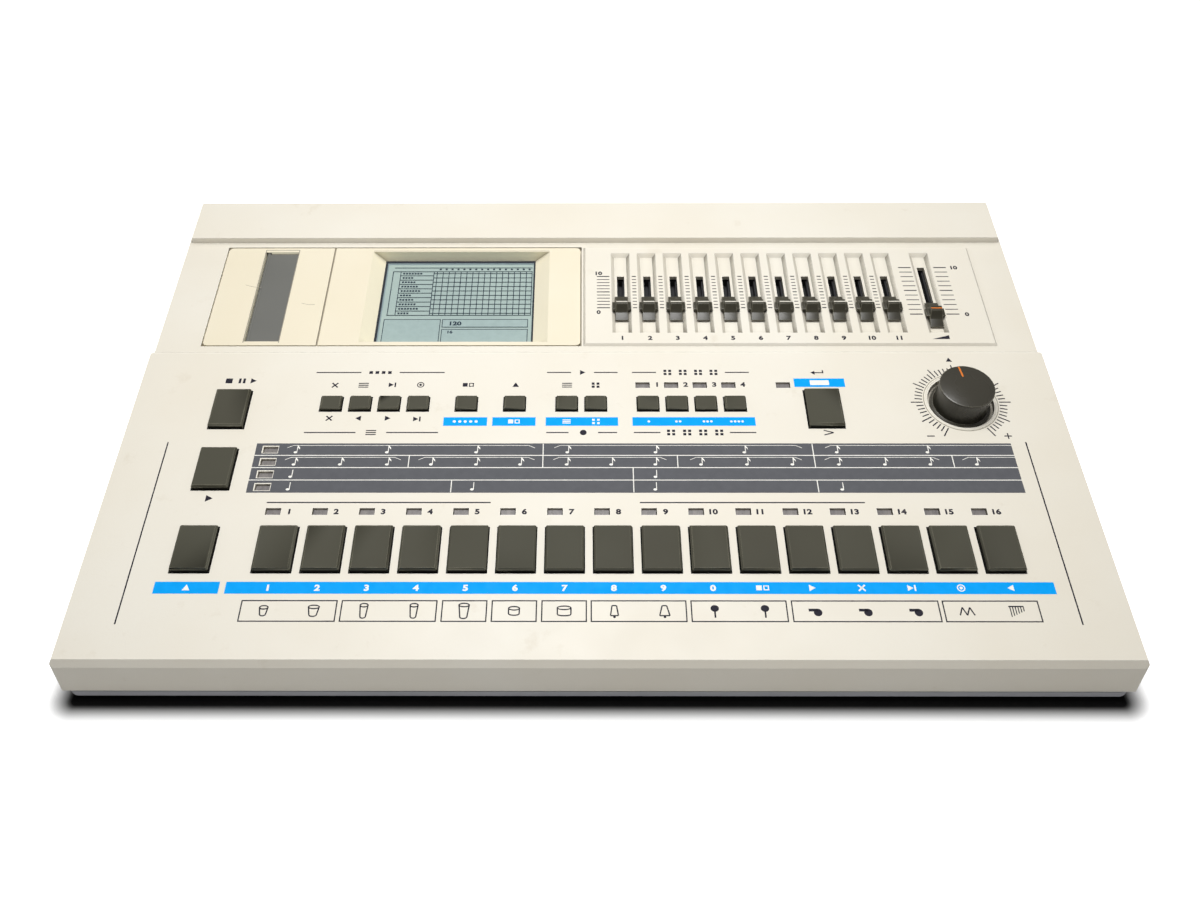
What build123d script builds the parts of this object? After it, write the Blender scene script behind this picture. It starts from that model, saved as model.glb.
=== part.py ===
"""Table-top drum machine: a wedge-shaped keyboard case with its keys, faders, dial and works.

Frame: X to the player's right, Y away from the player, Z up, millimetres. The origin is on the
table, under the middle of the case. Panel coordinates are (u, v, w): u along X, v up the slope
from the panel's front edge, w square to the panel, zero on its surface.
"""
import os
from math import cos, radians, sin

from build123d import *

# ---- Case ----
CASE_WIDTH = 380.0
CASE_DEPTH = 250.0
SLOPE = 12.0  # degrees from the table
FOOT_HEIGHT = 1.8
FRONT_HEIGHT = 19.6  # from the underside of the case to the panel's front edge
WALL = 2.5
BAND_OUT = 1.5  # the bevel round the panel runs out by this
BAND_DROP = 2.8  # and down by this
FRONT_DRAFT = 0.7
REAR_WALL_HEIGHT = 53.2  # above the underside of the case
FRONT_CORNER = 2.5
REAR_CORNER = 7.0
REAR_INSET = 1.5  # the rear of the case is narrower on each side

# ---- Panel, front to rear ----
MAIN_PANEL_LENGTH = 142.7
BAR_START = 211.0
BAR_LENGTH = 25.3
BAR_STEP_RUN = 0.9
BAR_RISE = 2.5
BAR_INSET = 1.5  # narrower again on each side than the deck in front of it
JOINT_LINE = 0.5  # shallow line across the panel, wide and deep

# ---- Lower case ----
LOWER_INSET = 1.8
LOWER_FRONT_INSET = 0.9
LOWER_CORNER = 4.0
FLOOR = 2.4
SEAM = 0.7
RIM_WALL = 2.0
RIM_HEIGHT = 6.6
RIM_CLEARANCE = 0.35

# ---- Clearances ----
SEAT = 0.1  # between flat faces that rest on each other
KEY_GAP = 0.35
RUNNING = 0.3
OVERCUT = 1.0  # how far a cutter or a joining piece passes the face it meets

# ---- Large keys ----
STEP_COUNT = 16
TRANSPORT_SIDE = 41.6  # from the case's left side to the keys that stand at the left
STEP_GAP = 29.85  # from those to the first key of the row
STEP_SIDE = 41.85  # from the row's last key to the case's right side
KEY_SPACE = 3.58  # between neighbours in the row
KEY_LENGTH = 19.5
KEY_RISE = 2.2
KEY_TRAVEL = 0.9
KEY_CHAMFER = 0.7
KEY_FLANGE = 1.0  # thickness
KEY_LAP = 0.8  # of the flange behind the edge of its hole
STEP_V = 44.4
START_BEHIND = 36.8  # from the row to the start key
STOP_BEHIND = 30.1  # from the start key to the stop key
ENTER_V = 111.6

# ---- Small buttons ----
BUTTON_PITCH = 11.8
BUTTON_SPACE = 3.2  # between neighbours
BUTTON_LENGTH = 7.2
BUTTON_RISE = 1.7
BUTTON_CHAMFER = 0.6
BUTTON_V = 114.2
EDIT_COUNT = 4
PLAY_COUNT = 2
GROUP_COUNT = 4
EDIT_EXTRA = 21.05  # more than the common gap, from the keys at the left to the edit buttons
PLAY_EXTRA = 1.6  # in front of the two play buttons, and after them
ENTER_EXTRA = 16.15  # from the last group button to the enter key
DIAL_EXTRA = 36.45  # from the enter key to the dial
GROUP_GAPS = 7  # from the keys at the left to the dial

# ---- Lamps ----
LAMP_WIDTH = 5.9
LAMP_LENGTH = 3.1
LAMP_GAP = 0.3
LAMP_SUNK = 0.9
STEP_LAMP_OFFSET = -3.9  # from its key
STEP_LAMP_BEHIND = 17.0
GROUP_LAMP_OFFSET = -1.9  # from its button
GROUP_LAMP_BEHIND = 10.25
ENTER_LAMP_OFFSET = -15.15  # from the enter key
SCALE_LAMP_COUNT = 4
SCALE_LAMP_OFFSET = -9.95  # from the first key of the row
SCALE_LAMP_BEHIND = 28.25  # from the row to the first of four
SCALE_LAMP_PITCH = 6.05

# ---- Tempo dial ----
DIAL_SIDE = 41.4  # from its axis to the case's right side
DIAL_V = 115.2
DIAL_WELL_R = 13.4
DIAL_WELL_DEPTH = 2.5
KNOB_SKIRT_R = 12.2
KNOB_SKIRT_HEIGHT = 1.2
KNOB_R = 11.0
KNOB_RISE = 10.0
SHAFT_R = 3.0
SHAFT_LIFT = 1.0  # of the shaft's end above the panel board
POINTER_REST = 8.0  # degrees towards slow
POINTER_WIDTH = 0.9
POINTER_LENGTH = 5.2
POINTER_DEPTH = 0.25
POINTER_EDGE = 0.7  # from the edge of the knob's top
ROTARY_SIZE = 16.0

# ---- Fader field ----
FIELD_START = 4.05  # left of the middle of the case
FIELD_SIDE = 20.25  # from its right edge to the case's right side
FIELD_FRONT = 147.2
FIELD_LENGTH = 59.4
FIELD_RISE = 1.0
FADER_COUNT = 11
FADER_MARGIN = 15.7  # from the field's left edge to the first fader
FADER_GAP = 17.65  # from the eleventh to the volume fader
VOLUME_MARGIN = 22.45  # from that to the field's right edge
TROUGH_WIDTH = 8.6
TROUGH_FRONT = 153.1
TROUGH_LENGTH = 50.1
TROUGH_DEPTH = 1.6  # its walls slope at 45 degrees
SLOT_WIDTH = 3.3
FADER_MIN_V = 168.2
FADER_TRAVEL = 19.6
VOLUME_MIN_V = 164.2
VOLUME_TRAVEL = 29.2
LEVER_WIDTH = 1.3
LEVER_LENGTH = 2.6
LEVER_REACH = 3.0  # into its potentiometer
CAP_WIDTH = 5.8
CAP_HALF_LENGTH = 7.2
CAP_LIFT = 0.75  # above the floor of the trough
CAP_TOE = 0.5  # thickness at its two ends
CAP_SHELF = 1.5  # thickness half way to the ridge
CAP_SHOULDER = 3.0  # height of the ridge's foot above the main panel's surface
CAP_SHOULDER_RUN = 0.9
CAP_RIDGE = 4.8  # height above the main panel's surface
CAP_RIDGE_WIDTH = 4.9
CAP_RIDGE_LENGTH = 2.7
CAP_WING_SPAN = 8.2
CAP_WING_LENGTH = 4.4
CAP_WING_THICKNESS = 1.1
POT_WIDTH = 8.0
POT_END = 6.0  # of a slide potentiometer beyond its slot
POT_TOP_W = -3.4

# ---- Display escutcheon ----
ESCUTCHEON_SIDE = 22.4  # from the case's left side
ESCUTCHEON_END = 6.4  # left of the middle of the case
ESCUTCHEON_FRONT = 146.9
ESCUTCHEON_LENGTH = 60.7
ESCUTCHEON_CORNER = 2.0
ESCUTCHEON_GAP = 0.6
ESCUTCHEON_LAP = 1.8  # of its flange behind the panel
ESCUTCHEON_FLANGE = 1.2
ESCUTCHEON_GROOVE_OFFSET = -0.45  # from half way between the slot and the bezel
ESCUTCHEON_GROOVE = 0.8  # wide and deep
BEZEL_WALL = 2.5
GLASS_DEPTH = 5.0
GLASS_THICKNESS = 2.0
GLASS_LAP = 1.5  # behind the edge of the window
WINDOW_SIDE = 20.6  # from its right edge to the escutcheon's
WINDOW_WIDTH = 69.0
WINDOW_FRONT = 149.8
WINDOW_LENGTH = 54.5
BEZEL_LEFT = 5.2  # run of each sloping side
BEZEL_RIGHT = 6.6
BEZEL_ENDS = 0.9
DISPLAY_BOARD_SIDE = 6.0  # beyond the window to left and right
DISPLAY_BOARD_END = 2.5  # beyond it to front and rear

# ---- Cartridge slot ----
CARTRIDGE_SIDE = 24.65  # from the escutcheon's left edge to the middle of the slot
CARTRIDGE_V = 177.1
CARTRIDGE_RIM = 0.4  # the slot's bevelled rim is wider on each side
CARTRIDGE_WIDTH = 14.9
CARTRIDGE_LENGTH = 55.1
FLAP_SUNK = 0.9
FLAP_THICKNESS = 1.2
FLAP_BARREL_R = 0.9
FLAP_PIN = 1.1  # length of each hinge pin beyond the slot
FLAP_EDGE = 0.25  # between the barrel and the slot's left wall
CHUTE_WALL = 1.5
CHUTE_DEPTH = 25.9
CONTACT_WIDTH = 9.0  # of the socket that takes a cartridge's edge
CONTACT_LENGTH = 50.0
CONTACT_HEIGHT = 7.0
CONTACT_SLOT = 2.4
CONTACT_END = 2.0
CONTACT_FLOOR = 1.5

# ---- Boards and their bosses ----
BOARD = 1.6
PANEL_BOARD_W = -9.0  # its top face
PANEL_BOARD_SIDE = 16.0  # beyond the outermost keys and the dial
PANEL_BOARD_FRONT = 16.0  # in front of the row of sixteen keys
PANEL_BOARD_REAR = 3.5  # behind the rear lamps
FADER_BOARD_W = -11.1
FADER_BOARD_SIDE = 12.5  # beyond the outermost faders
FADER_BOARD_END = 3.0  # beyond the bosses
FADER_BOSS_SIDE = 9.4
FADER_BOSS_END = 1.4  # beyond the troughs
CARTRIDGE_BOARD_SIDE = 4.0  # beyond the chute
CARTRIDGE_BOARD_END = 3.0
MAIN_BOARD_Z = 19.5  # its underside
MAIN_BOARD_FRONT = 8.0
MAIN_BOARD_GAP = 3.0  # in front of the recessed rear wall
MAIN_BOARD_SIDE = 2.0  # between its edges and the screw posts
MAIN_BOSS_SIDE = 40.0  # from the case's sides
MAIN_BOSS_END = 6.0  # behind the board's front edge
MAIN_BOSS_REAR = 41.0  # from the rear of the case
SWITCH_WIDTH = 7.0
SWITCH_LENGTH = 6.0
SWITCH_HEIGHT = 2.5
STEM_SIZE = 2.8
BOSS_SIZE = 5.0
BOSS_ROOM = 1.15  # between a boss and the lamps beside it
BOSS_SIDE = 12.6  # from the outermost keys to the bosses beside them

# ---- Rear sockets, in a recess of the rear wall ----
RECESS_DEPTH = 3.5
RECESS_SIDE = 17.0  # from the case's sides
RECESS_LOW = 17.5
RECESS_HIGH = 43.0
SOCKET_PROUD = 0.4
JACK_COUNT = 15
JACK_SIDE = 30.0  # from the case's left side to the first
JACK_SPACE = 0.9  # between neighbours
JACK_LIFT = 6.8  # of the axes of jacks and small sockets above their seat on the main board
JACK_BORE_R = 3.2
JACK_BORE_DEPTH = 26.0
JACK_DEPTH = 30.0
JACK_SUNK = 0.6
DIN_COUNT = 3
DIN_PITCH = 23.0
DIN_GAP = 21.0  # from the last jack to the first of three
DIN_BODY = 18.0
DIN_BODY_DEPTH = 17.2
DIN_PLUG_R = 6.9
DIN_CORE_R = 5.8
DIN_CORE_SUNK = 0.8
DIN_DEPTH = 8.0
MINI_COUNT = 2
MINI_PITCH = 10.5
MINI_GAP = 16.0  # from the last round socket to the first of two
MINI_SIZE = 9.0
MINI_DEPTH = 14.0
MINI_BORE_R = 1.8
MINI_BORE_DEPTH = 12.0
POWER_IN_GAP = 11.5  # from the second mini jack
POWER_IN_SIZE = 9.0
POWER_IN_DEPTH = 14.0
POWER_IN_BORE_R = 2.85
POWER_IN_BORE_DEPTH = 10.0
POWER_IN_PIN_R = 1.05
POWER_SWITCH_GAP = 15.0  # from the inlet
POWER_SWITCH_SIDE = 27.0  # from the case's right side
POWER_SWITCH_SIZE = 13.6
POWER_BUTTON = 8.0
POWER_BUTTON_LENGTH = 16.0
POWER_BUTTON_PROUD = 3.0
POWER_BUTTON_CHAMFER = 0.6
POWER_TRAVEL = 2.5

# ---- Fasteners and feet ----
FOOT_R = 8.5
FOOT_SIDE = 32.0  # from the case's sides
FOOT_END = 25.0  # from its front and rear
POST_SIDE = 12.0  # from the case's sides
POST_FRONT = 17.0  # from its front
POST_MIDDLE = -20.0  # from its middle
POST_REAR = 39.0  # from its rear
POST_SIZE = 8.0
SIDES = 6  # of screws, of what they go through and of the dial's shaft
PILOT_R = 1.75
SCREW_R = 1.5
SCREW_HEAD_R = 3.0
SCREW_HEAD_HEIGHT = 1.4
SCREW_LENGTH = 14.0

# ---- Battery bay ----
BAY_X = -90.0
BAY_Y = -38.0
BAY_LENGTH = 54.0
BAY_WIDTH = 31.0
BAY_HEIGHT = 15.2
BAY_WALL = 1.5
COVER_THICKNESS = 1.5
COVER_MARGIN = 4.0
COVER_TRAVEL = 7.0
COVER_GAP = 0.3
COVER_RAIL = 0.5  # thickness of the rails that hold the cover's tabs
COVER_TAB_OFFSETS = (-20.0, 0.0, 20.0)
COVER_TAB_LENGTH = 6.0
COVER_TAB_OUT = 1.2
GRIP_COUNT = 4
GRIP_PITCH = 2.4
GRIP_WIDTH = 1.0
GRIP_DEPTH = 0.5
GRIP_EDGE = 6.0  # from the cover's left edge to the first groove


def row(first, pitch, count):
    return [first + i * pitch for i in range(count)]


# ---- Worked out from the sizes above ----
FAR = CASE_WIDTH + CASE_DEPTH  # longer than anything in the model
FRONT_Y = -CASE_DEPTH / 2
REAR_Y = CASE_DEPTH / 2
SOCKET_Y = REAR_Y - RECESS_DEPTH  # rear face of the recessed wall
SOCKET_INNER_Y = SOCKET_Y - WALL - RUNNING
BASE_Z = FOOT_HEIGHT
FLOOR_Z = BASE_Z + FLOOR
SEAM_Z = FLOOR_Z + SEAM
PANEL_Z = BASE_Z + FRONT_HEIGHT
PANEL_Y = FRONT_Y + BAND_OUT
HALF_WIDTH = CASE_WIDTH / 2
PANEL = Plane(
    origin=(0, PANEL_Y, PANEL_Z),
    x_dir=(1, 0, 0),
    z_dir=(0, -sin(radians(SLOPE)), cos(radians(SLOPE))),
).location
TRANSPORT_U = TRANSPORT_SIDE - HALF_WIDTH
STEP_FIRST_U = TRANSPORT_U + STEP_GAP
KEY_PITCH = (HALF_WIDTH - STEP_SIDE - STEP_FIRST_U) / (STEP_COUNT - 1)
KEY_WIDTH = KEY_PITCH - KEY_SPACE
STEP_U = STEP_FIRST_U + (STEP_COUNT - 1) * KEY_PITCH / 2  # middle of the row
START_V = STEP_V + START_BEHIND
STOP_V = START_V + STOP_BEHIND
DIAL_U = HALF_WIDTH - DIAL_SIDE
BUTTON_WIDTH = BUTTON_PITCH - BUTTON_SPACE
EDIT_RUN = (EDIT_COUNT - 1) * BUTTON_PITCH
PLAY_RUN = (PLAY_COUNT - 1) * BUTTON_PITCH
GROUP_RUN = (GROUP_COUNT - 1) * BUTTON_PITCH
EXTRA = EDIT_EXTRA + 2 * PLAY_EXTRA + ENTER_EXTRA + DIAL_EXTRA
BUTTON_GAP = (DIAL_U - TRANSPORT_U - EDIT_RUN - PLAY_RUN - GROUP_RUN - EXTRA) / GROUP_GAPS  # common
EDIT_U = TRANSPORT_U + BUTTON_GAP + EDIT_EXTRA  # first of four
SHUFFLE_U = EDIT_U + EDIT_RUN + BUTTON_GAP
TEMPO_U = SHUFFLE_U + BUTTON_GAP
PLAY_U = TEMPO_U + BUTTON_GAP + PLAY_EXTRA  # first of two
GROUP_U = PLAY_U + PLAY_RUN + BUTTON_GAP + PLAY_EXTRA  # first of four
ENTER_U = GROUP_U + GROUP_RUN + BUTTON_GAP + ENTER_EXTRA
STEP_LAMP_V = STEP_V + STEP_LAMP_BEHIND
GROUP_LAMP_V = BUTTON_V + GROUP_LAMP_BEHIND
ENTER_LAMP_U = ENTER_U + ENTER_LAMP_OFFSET
SCALE_LAMP_U = STEP_FIRST_U + SCALE_LAMP_OFFSET
SCALE_LAMP_V = STEP_V + SCALE_LAMP_BEHIND
BAR_END = BAR_START + BAR_LENGTH
FIELD_LEFT = -FIELD_START
FIELD_WIDTH = HALF_WIDTH - FIELD_SIDE - FIELD_LEFT
FIELD_U = FIELD_LEFT + FIELD_WIDTH / 2
FADER_U = FIELD_LEFT + FADER_MARGIN  # first of eleven
VOLUME_U = FIELD_LEFT + FIELD_WIDTH - VOLUME_MARGIN
FADER_PITCH = (VOLUME_U - FADER_GAP - FADER_U) / (FADER_COUNT - 1)
FIELD_V = FIELD_FRONT + FIELD_LENGTH / 2
TROUGH_V = TROUGH_FRONT + TROUGH_LENGTH / 2
TROUGH_FLOOR_W = FIELD_RISE - TROUGH_DEPTH
ESCUTCHEON_LEFT = ESCUTCHEON_SIDE - HALF_WIDTH
ESCUTCHEON_WIDTH = -ESCUTCHEON_END - ESCUTCHEON_LEFT
ESCUTCHEON_U = ESCUTCHEON_LEFT + ESCUTCHEON_WIDTH / 2
ESCUTCHEON_V = ESCUTCHEON_FRONT + ESCUTCHEON_LENGTH / 2
CARTRIDGE_U = ESCUTCHEON_LEFT + CARTRIDGE_SIDE
WINDOW_LEFT = -ESCUTCHEON_END - WINDOW_SIDE - WINDOW_WIDTH
SLOT_RIGHT = CARTRIDGE_U + CARTRIDGE_WIDTH / 2
ESCUTCHEON_GROOVE_U = (SLOT_RIGHT + WINDOW_LEFT - BEZEL_LEFT) / 2 + ESCUTCHEON_GROOVE_OFFSET
WINDOW_U = WINDOW_LEFT + WINDOW_WIDTH / 2
WINDOW_V = WINDOW_FRONT + WINDOW_LENGTH / 2
KEY_FLANGE_TOP = -WALL - RUNNING
KEY_BOTTOM = KEY_FLANGE_TOP - KEY_FLANGE
SWITCH_TOP = PANEL_BOARD_W + SEAT + SWITCH_HEIGHT
STEM_END = SWITCH_TOP + KEY_TRAVEL + SEAT  # a pressed key stops just short of its switch
LEVER_FOOT = POT_TOP_W - LEVER_REACH
FLAP_AXIS_U = CARTRIDGE_U - CARTRIDGE_WIDTH / 2 + FLAP_EDGE + FLAP_BARREL_R
FLAP_AXIS_W = -FLAP_SUNK - FLAP_THICKNESS / 2
SOCKET_SEAT_Z = MAIN_BOARD_Z + BOARD + SEAT  # what stands on the main board starts here
JACK_Z = SOCKET_SEAT_Z + JACK_LIFT
DIN_Z = SOCKET_SEAT_Z + DIN_BODY / 2
RECESS_WIDTH = CASE_WIDTH - 2 * RECESS_SIDE
POWER_SWITCH_X = HALF_WIDTH - POWER_SWITCH_SIDE
POWER_IN_X = POWER_SWITCH_X - POWER_SWITCH_GAP
MINI_X = row(POWER_IN_X - POWER_IN_GAP - (MINI_COUNT - 1) * MINI_PITCH, MINI_PITCH, MINI_COUNT)
DIN_X = row(MINI_X[0] - MINI_GAP - (DIN_COUNT - 1) * DIN_PITCH, DIN_PITCH, DIN_COUNT)
JACK_X = JACK_SIDE - HALF_WIDTH  # first of fifteen
JACK_PITCH = (DIN_X[0] - DIN_GAP - JACK_X) / (JACK_COUNT - 1)
JACK_SIZE = JACK_PITCH - JACK_SPACE
FOOT_X = HALF_WIDTH - FOOT_SIDE
FOOT_Y = REAR_Y - FOOT_END
POST_X = HALF_WIDTH - POST_SIDE
POST_Y = (FRONT_Y + POST_FRONT, POST_MIDDLE, REAR_Y - POST_REAR)
MAIN_BOSS_X = HALF_WIDTH - MAIN_BOSS_SIDE
MAIN_BOSS_Y = (MAIN_BOARD_FRONT + MAIN_BOSS_END, REAR_Y - MAIN_BOSS_REAR)
BAY_CEILING = BASE_Z + COVER_THICKNESS + COVER_GAP + BAY_HEIGHT
COVER_LENGTH = BAY_LENGTH + 2 * COVER_MARGIN
COVER_WIDTH = BAY_WIDTH + 2 * COVER_MARGIN
COVER_TOP_Z = BASE_Z + COVER_THICKNESS


def panel_point(v, w=0.0):
    """World (y, z) of a point at slope distance v and height w on the middle of the panel."""
    a = radians(SLOPE)
    return (PANEL_Y + v * cos(a) - w * sin(a), PANEL_Z + v * sin(a) + w * cos(a))


def panel_box(u, v, width, length, top, bottom):
    """Box square to the panel, centred at (u, v), between two heights."""
    return PANEL * Pos(u, v, (top + bottom) / 2) * Box(width, length, top - bottom)


def panel_post(u, v, radius, top, bottom):
    return PANEL * Pos(u, v, (top + bottom) / 2) * Cylinder(radius, top - bottom)


def upright_box(x, y, width, length, low, high):
    """Box square to the table, centred at (x, y), between two heights."""
    return Pos(x, y, (low + high) / 2) * Box(width, length, high - low)


def upright_prism(x, y, radius, low, high):
    """Six-sided prism between two heights: a screw, or what a screw goes through."""
    return Pos(x, y, low) * extrude(RegularPolygon(radius, SIDES), amount=high - low)


def rear_box(x, z, width, height, front, rear):
    """Box centred at (x, z), between two depths."""
    return Pos(x, (front + rear) / 2, z) * Box(width, rear - front, height)


def rear_post(x, z, radius, front, rear):
    """Cylinder along Y, between two depths."""
    return Pos(x, (front + rear) / 2, z) * Rot(90, 0, 0) * Cylinder(radius, rear - front)


def funnel(bottom_size, top_size, height, shift=0.0):
    """Ruled solid from a rectangle at z = 0 to one at the given height, moved along x by shift."""
    bottom = Rectangle(*bottom_size)
    top = Pos(shift, 0, height) * Rectangle(*top_size)
    return loft([bottom, top], ruled=True)


def polygon(*points):
    return make_face(Polyline(*points, close=True))


# ---- Where things are ----
def step_keys():
    """(u, v) of the sixteen keys in the front row."""
    return [(u, STEP_V) for u in row(STEP_FIRST_U, KEY_PITCH, STEP_COUNT)]


def other_keys():
    """Name and (u, v) of the keys that stand apart."""
    return {
        "shift_key": (TRANSPORT_U, STEP_V),
        "start_key": (TRANSPORT_U, START_V),
        "stop_key": (TRANSPORT_U, STOP_V),
        "enter_key": (ENTER_U, ENTER_V),
    }


def large_keys():
    return step_keys() + list(other_keys().values())


def buttons():
    """(u, v) of the twelve small buttons, left to right."""
    columns = row(EDIT_U, BUTTON_PITCH, EDIT_COUNT) + [SHUFFLE_U, TEMPO_U]
    columns += row(PLAY_U, BUTTON_PITCH, PLAY_COUNT) + row(GROUP_U, BUTTON_PITCH, GROUP_COUNT)
    return [(u, BUTTON_V) for u in columns]


def lamps():
    """(u, v) of every lamp window."""
    spots = [(u + STEP_LAMP_OFFSET, STEP_LAMP_V) for u, _ in step_keys()]
    spots += [(u + GROUP_LAMP_OFFSET, GROUP_LAMP_V) for u in row(GROUP_U, BUTTON_PITCH, GROUP_COUNT)]
    spots += [(ENTER_LAMP_U, GROUP_LAMP_V)]
    spots += [(SCALE_LAMP_U, v) for v in row(SCALE_LAMP_V, SCALE_LAMP_PITCH, SCALE_LAMP_COUNT)]
    return spots


def faders():
    """u, v at minimum and travel of each fader, the volume fader last."""
    rows = [(u, FADER_MIN_V, FADER_TRAVEL) for u in row(FADER_U, FADER_PITCH, FADER_COUNT)]
    return rows + [(VOLUME_U, VOLUME_MIN_V, VOLUME_TRAVEL)]


def lever_slot(minimum, travel):
    """Middle and length of the slot that a fader's lever runs in."""
    return minimum + travel / 2, travel + LEVER_LENGTH + 2 * KEY_GAP


def screw_posts():
    """(x, y) of the screw posts that join the two halves of the case."""
    return [(side * POST_X, y) for side in (-1, 1) for y in POST_Y]


def panel_board_bosses():
    """(u, v) of the bosses that carry the panel board."""
    front = STEP_LAMP_V + LAMP_LENGTH / 2 + BOSS_ROOM + BOSS_SIZE / 2
    rear = GROUP_LAMP_V
    return [
        (TRANSPORT_U - BOSS_SIDE, front),
        (STEP_U, front),
        (DIAL_U + BOSS_SIDE, front),
        ((TRANSPORT_U + EDIT_U) / 2, rear),
        ((ENTER_U + DIAL_U) / 2, rear),
    ]


def fader_board_bosses():
    """(u, v) of the bosses that carry the fader board."""
    columns = (FADER_U - FADER_BOSS_SIDE, VOLUME_U + FADER_BOSS_SIDE)
    return [(u, v) for u in columns for v in (TROUGH_FRONT, TROUGH_FRONT + TROUGH_LENGTH + FADER_BOSS_END)]


def main_board_bosses():
    """(x, y) of the posts under the main board."""
    return [(x, y) for x in (-MAIN_BOSS_X, 0, MAIN_BOSS_X) for y in MAIN_BOSS_Y]


# ---- Upper case ----
def case_outline():
    """Side view of the upper case in (y, z), from the front seam round over the top."""
    return polygon(
        (FRONT_Y + FRONT_DRAFT, SEAM_Z),
        (FRONT_Y, PANEL_Z - BAND_DROP),
        panel_point(0),
        panel_point(BAR_START),
        panel_point(BAR_START + BAR_STEP_RUN, BAR_RISE),
        panel_point(BAR_END, BAR_RISE),
        (REAR_Y, BASE_Z + REAR_WALL_HEIGHT),
        (REAR_Y, SEAM_Z),
    )


def case_block():
    """Outside of the upper case as one solid block."""
    block = extrude(Plane.YZ * case_outline(), amount=HALF_WIDTH, both=True)
    plan = Rectangle(CASE_WIDTH, CASE_DEPTH)
    plan = fillet(plan.vertices().group_by(Axis.Y)[0], FRONT_CORNER)
    plan = fillet(plan.vertices().group_by(Axis.Y)[-1], REAR_CORNER)
    return (block & extrude(plan, amount=FAR)) - side_cuts()


def side_cuts():
    """What the bevelled sides, the narrower rear and the bar's ends take off the block."""
    cuts = []
    out = HALF_WIDTH + OVERCUT
    above = BAR_RISE + OVERCUT
    for start, inset in ((-FAR, 0.0), (MAIN_PANEL_LENGTH, REAR_INSET)):
        edge = HALF_WIDTH - BAND_OUT - inset
        foot = HALF_WIDTH - inset
        section = polygon((edge, above), (edge, 0), (foot, -BAND_DROP), (out, -BAND_DROP), (out, above))
        cuts.append(PANEL * Pos(0, start, 0) * extrude(Plane.XZ * section, amount=-2 * FAR))
    width = REAR_INSET + OVERCUT
    cuts.append(panel_box(out - width / 2, MAIN_PANEL_LENGTH + FAR / 2, width, FAR, above, -FAR))
    bar_end = HALF_WIDTH - BAND_OUT - REAR_INSET - BAR_INSET
    width = out - bar_end
    cuts.append(panel_box(bar_end + width / 2, BAR_START + FAR / 2, width, FAR, above, 0))
    return cuts + [mirror(cut, Plane.YZ) for cut in cuts]


def case_hollow():
    """Room inside the upper case, open below."""
    room = Plane.YZ * offset(case_outline(), -WALL, kind=Kind.INTERSECTION)
    narrow = HALF_WIDTH - REAR_INSET - WALL
    front_room = extrude(room, amount=HALF_WIDTH - WALL, both=True)
    front_room -= panel_box(0, MAIN_PANEL_LENGTH - WALL + FAR / 2, CASE_WIDTH, FAR, FAR, -FAR)
    rear_room = extrude(room, amount=narrow, both=True)
    front = FRONT_Y + FRONT_DRAFT + WALL
    rear = REAR_Y - WALL
    mouth = upright_box(0, (front + rear) / 2, 2 * narrow, rear - front, BASE_Z, SEAM_Z + WALL + OVERCUT)
    return [front_room, rear_room, mouth]


def raised_field():
    """Raised field that the faders run in."""
    foot = (FIELD_WIDTH + 2 * FIELD_RISE, FIELD_LENGTH + 2 * FIELD_RISE)
    return PANEL * Pos(FIELD_U, FIELD_V, 0) * funnel(foot, (FIELD_WIDTH, FIELD_LENGTH), FIELD_RISE)


def trough(u):
    """Cutter for one fader trough in the raised field."""
    top = (TROUGH_WIDTH, TROUGH_LENGTH)
    floor = (TROUGH_WIDTH - 2 * TROUGH_DEPTH, TROUGH_LENGTH - 2 * TROUGH_DEPTH)
    return PANEL * Pos(u, TROUGH_V, TROUGH_FLOOR_W) * funnel(floor, top, TROUGH_DEPTH)


def inner_bosses():
    """Screw posts, board bosses, dial boss and the backing of the socket recess."""
    block = case_block()
    inside = -WALL / 2
    post = (POST_SIZE, POST_SIZE)
    boss = (BOSS_SIZE, BOSS_SIZE)
    bosses = [upright_box(x, y, *post, SEAM_Z, FAR) & block for x, y in screw_posts()]
    bosses += [upright_box(x, y, *post, FLOOR_Z + SEAT, SEAM_Z + OVERCUT) for x, y in screw_posts()]
    bosses += [panel_box(u, v, *boss, inside, PANEL_BOARD_W + SEAT) for u, v in panel_board_bosses()]
    bosses += [panel_box(u, v, *boss, inside, FADER_BOARD_W + SEAT) for u, v in fader_board_bosses()]
    around = 2 * (DIAL_WELL_R + WALL)
    bosses.append(panel_box(DIAL_U, DIAL_V, around, around, inside, -DIAL_WELL_DEPTH - WALL))
    middle = (RECESS_LOW + RECESS_HIGH) / 2
    height = RECESS_HIGH - RECESS_LOW + 2 * WALL
    bosses.append(rear_box(0, middle, RECESS_WIDTH + 2 * WALL, height, SOCKET_Y - WALL, REAR_Y - WALL / 2))
    return bosses


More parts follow.
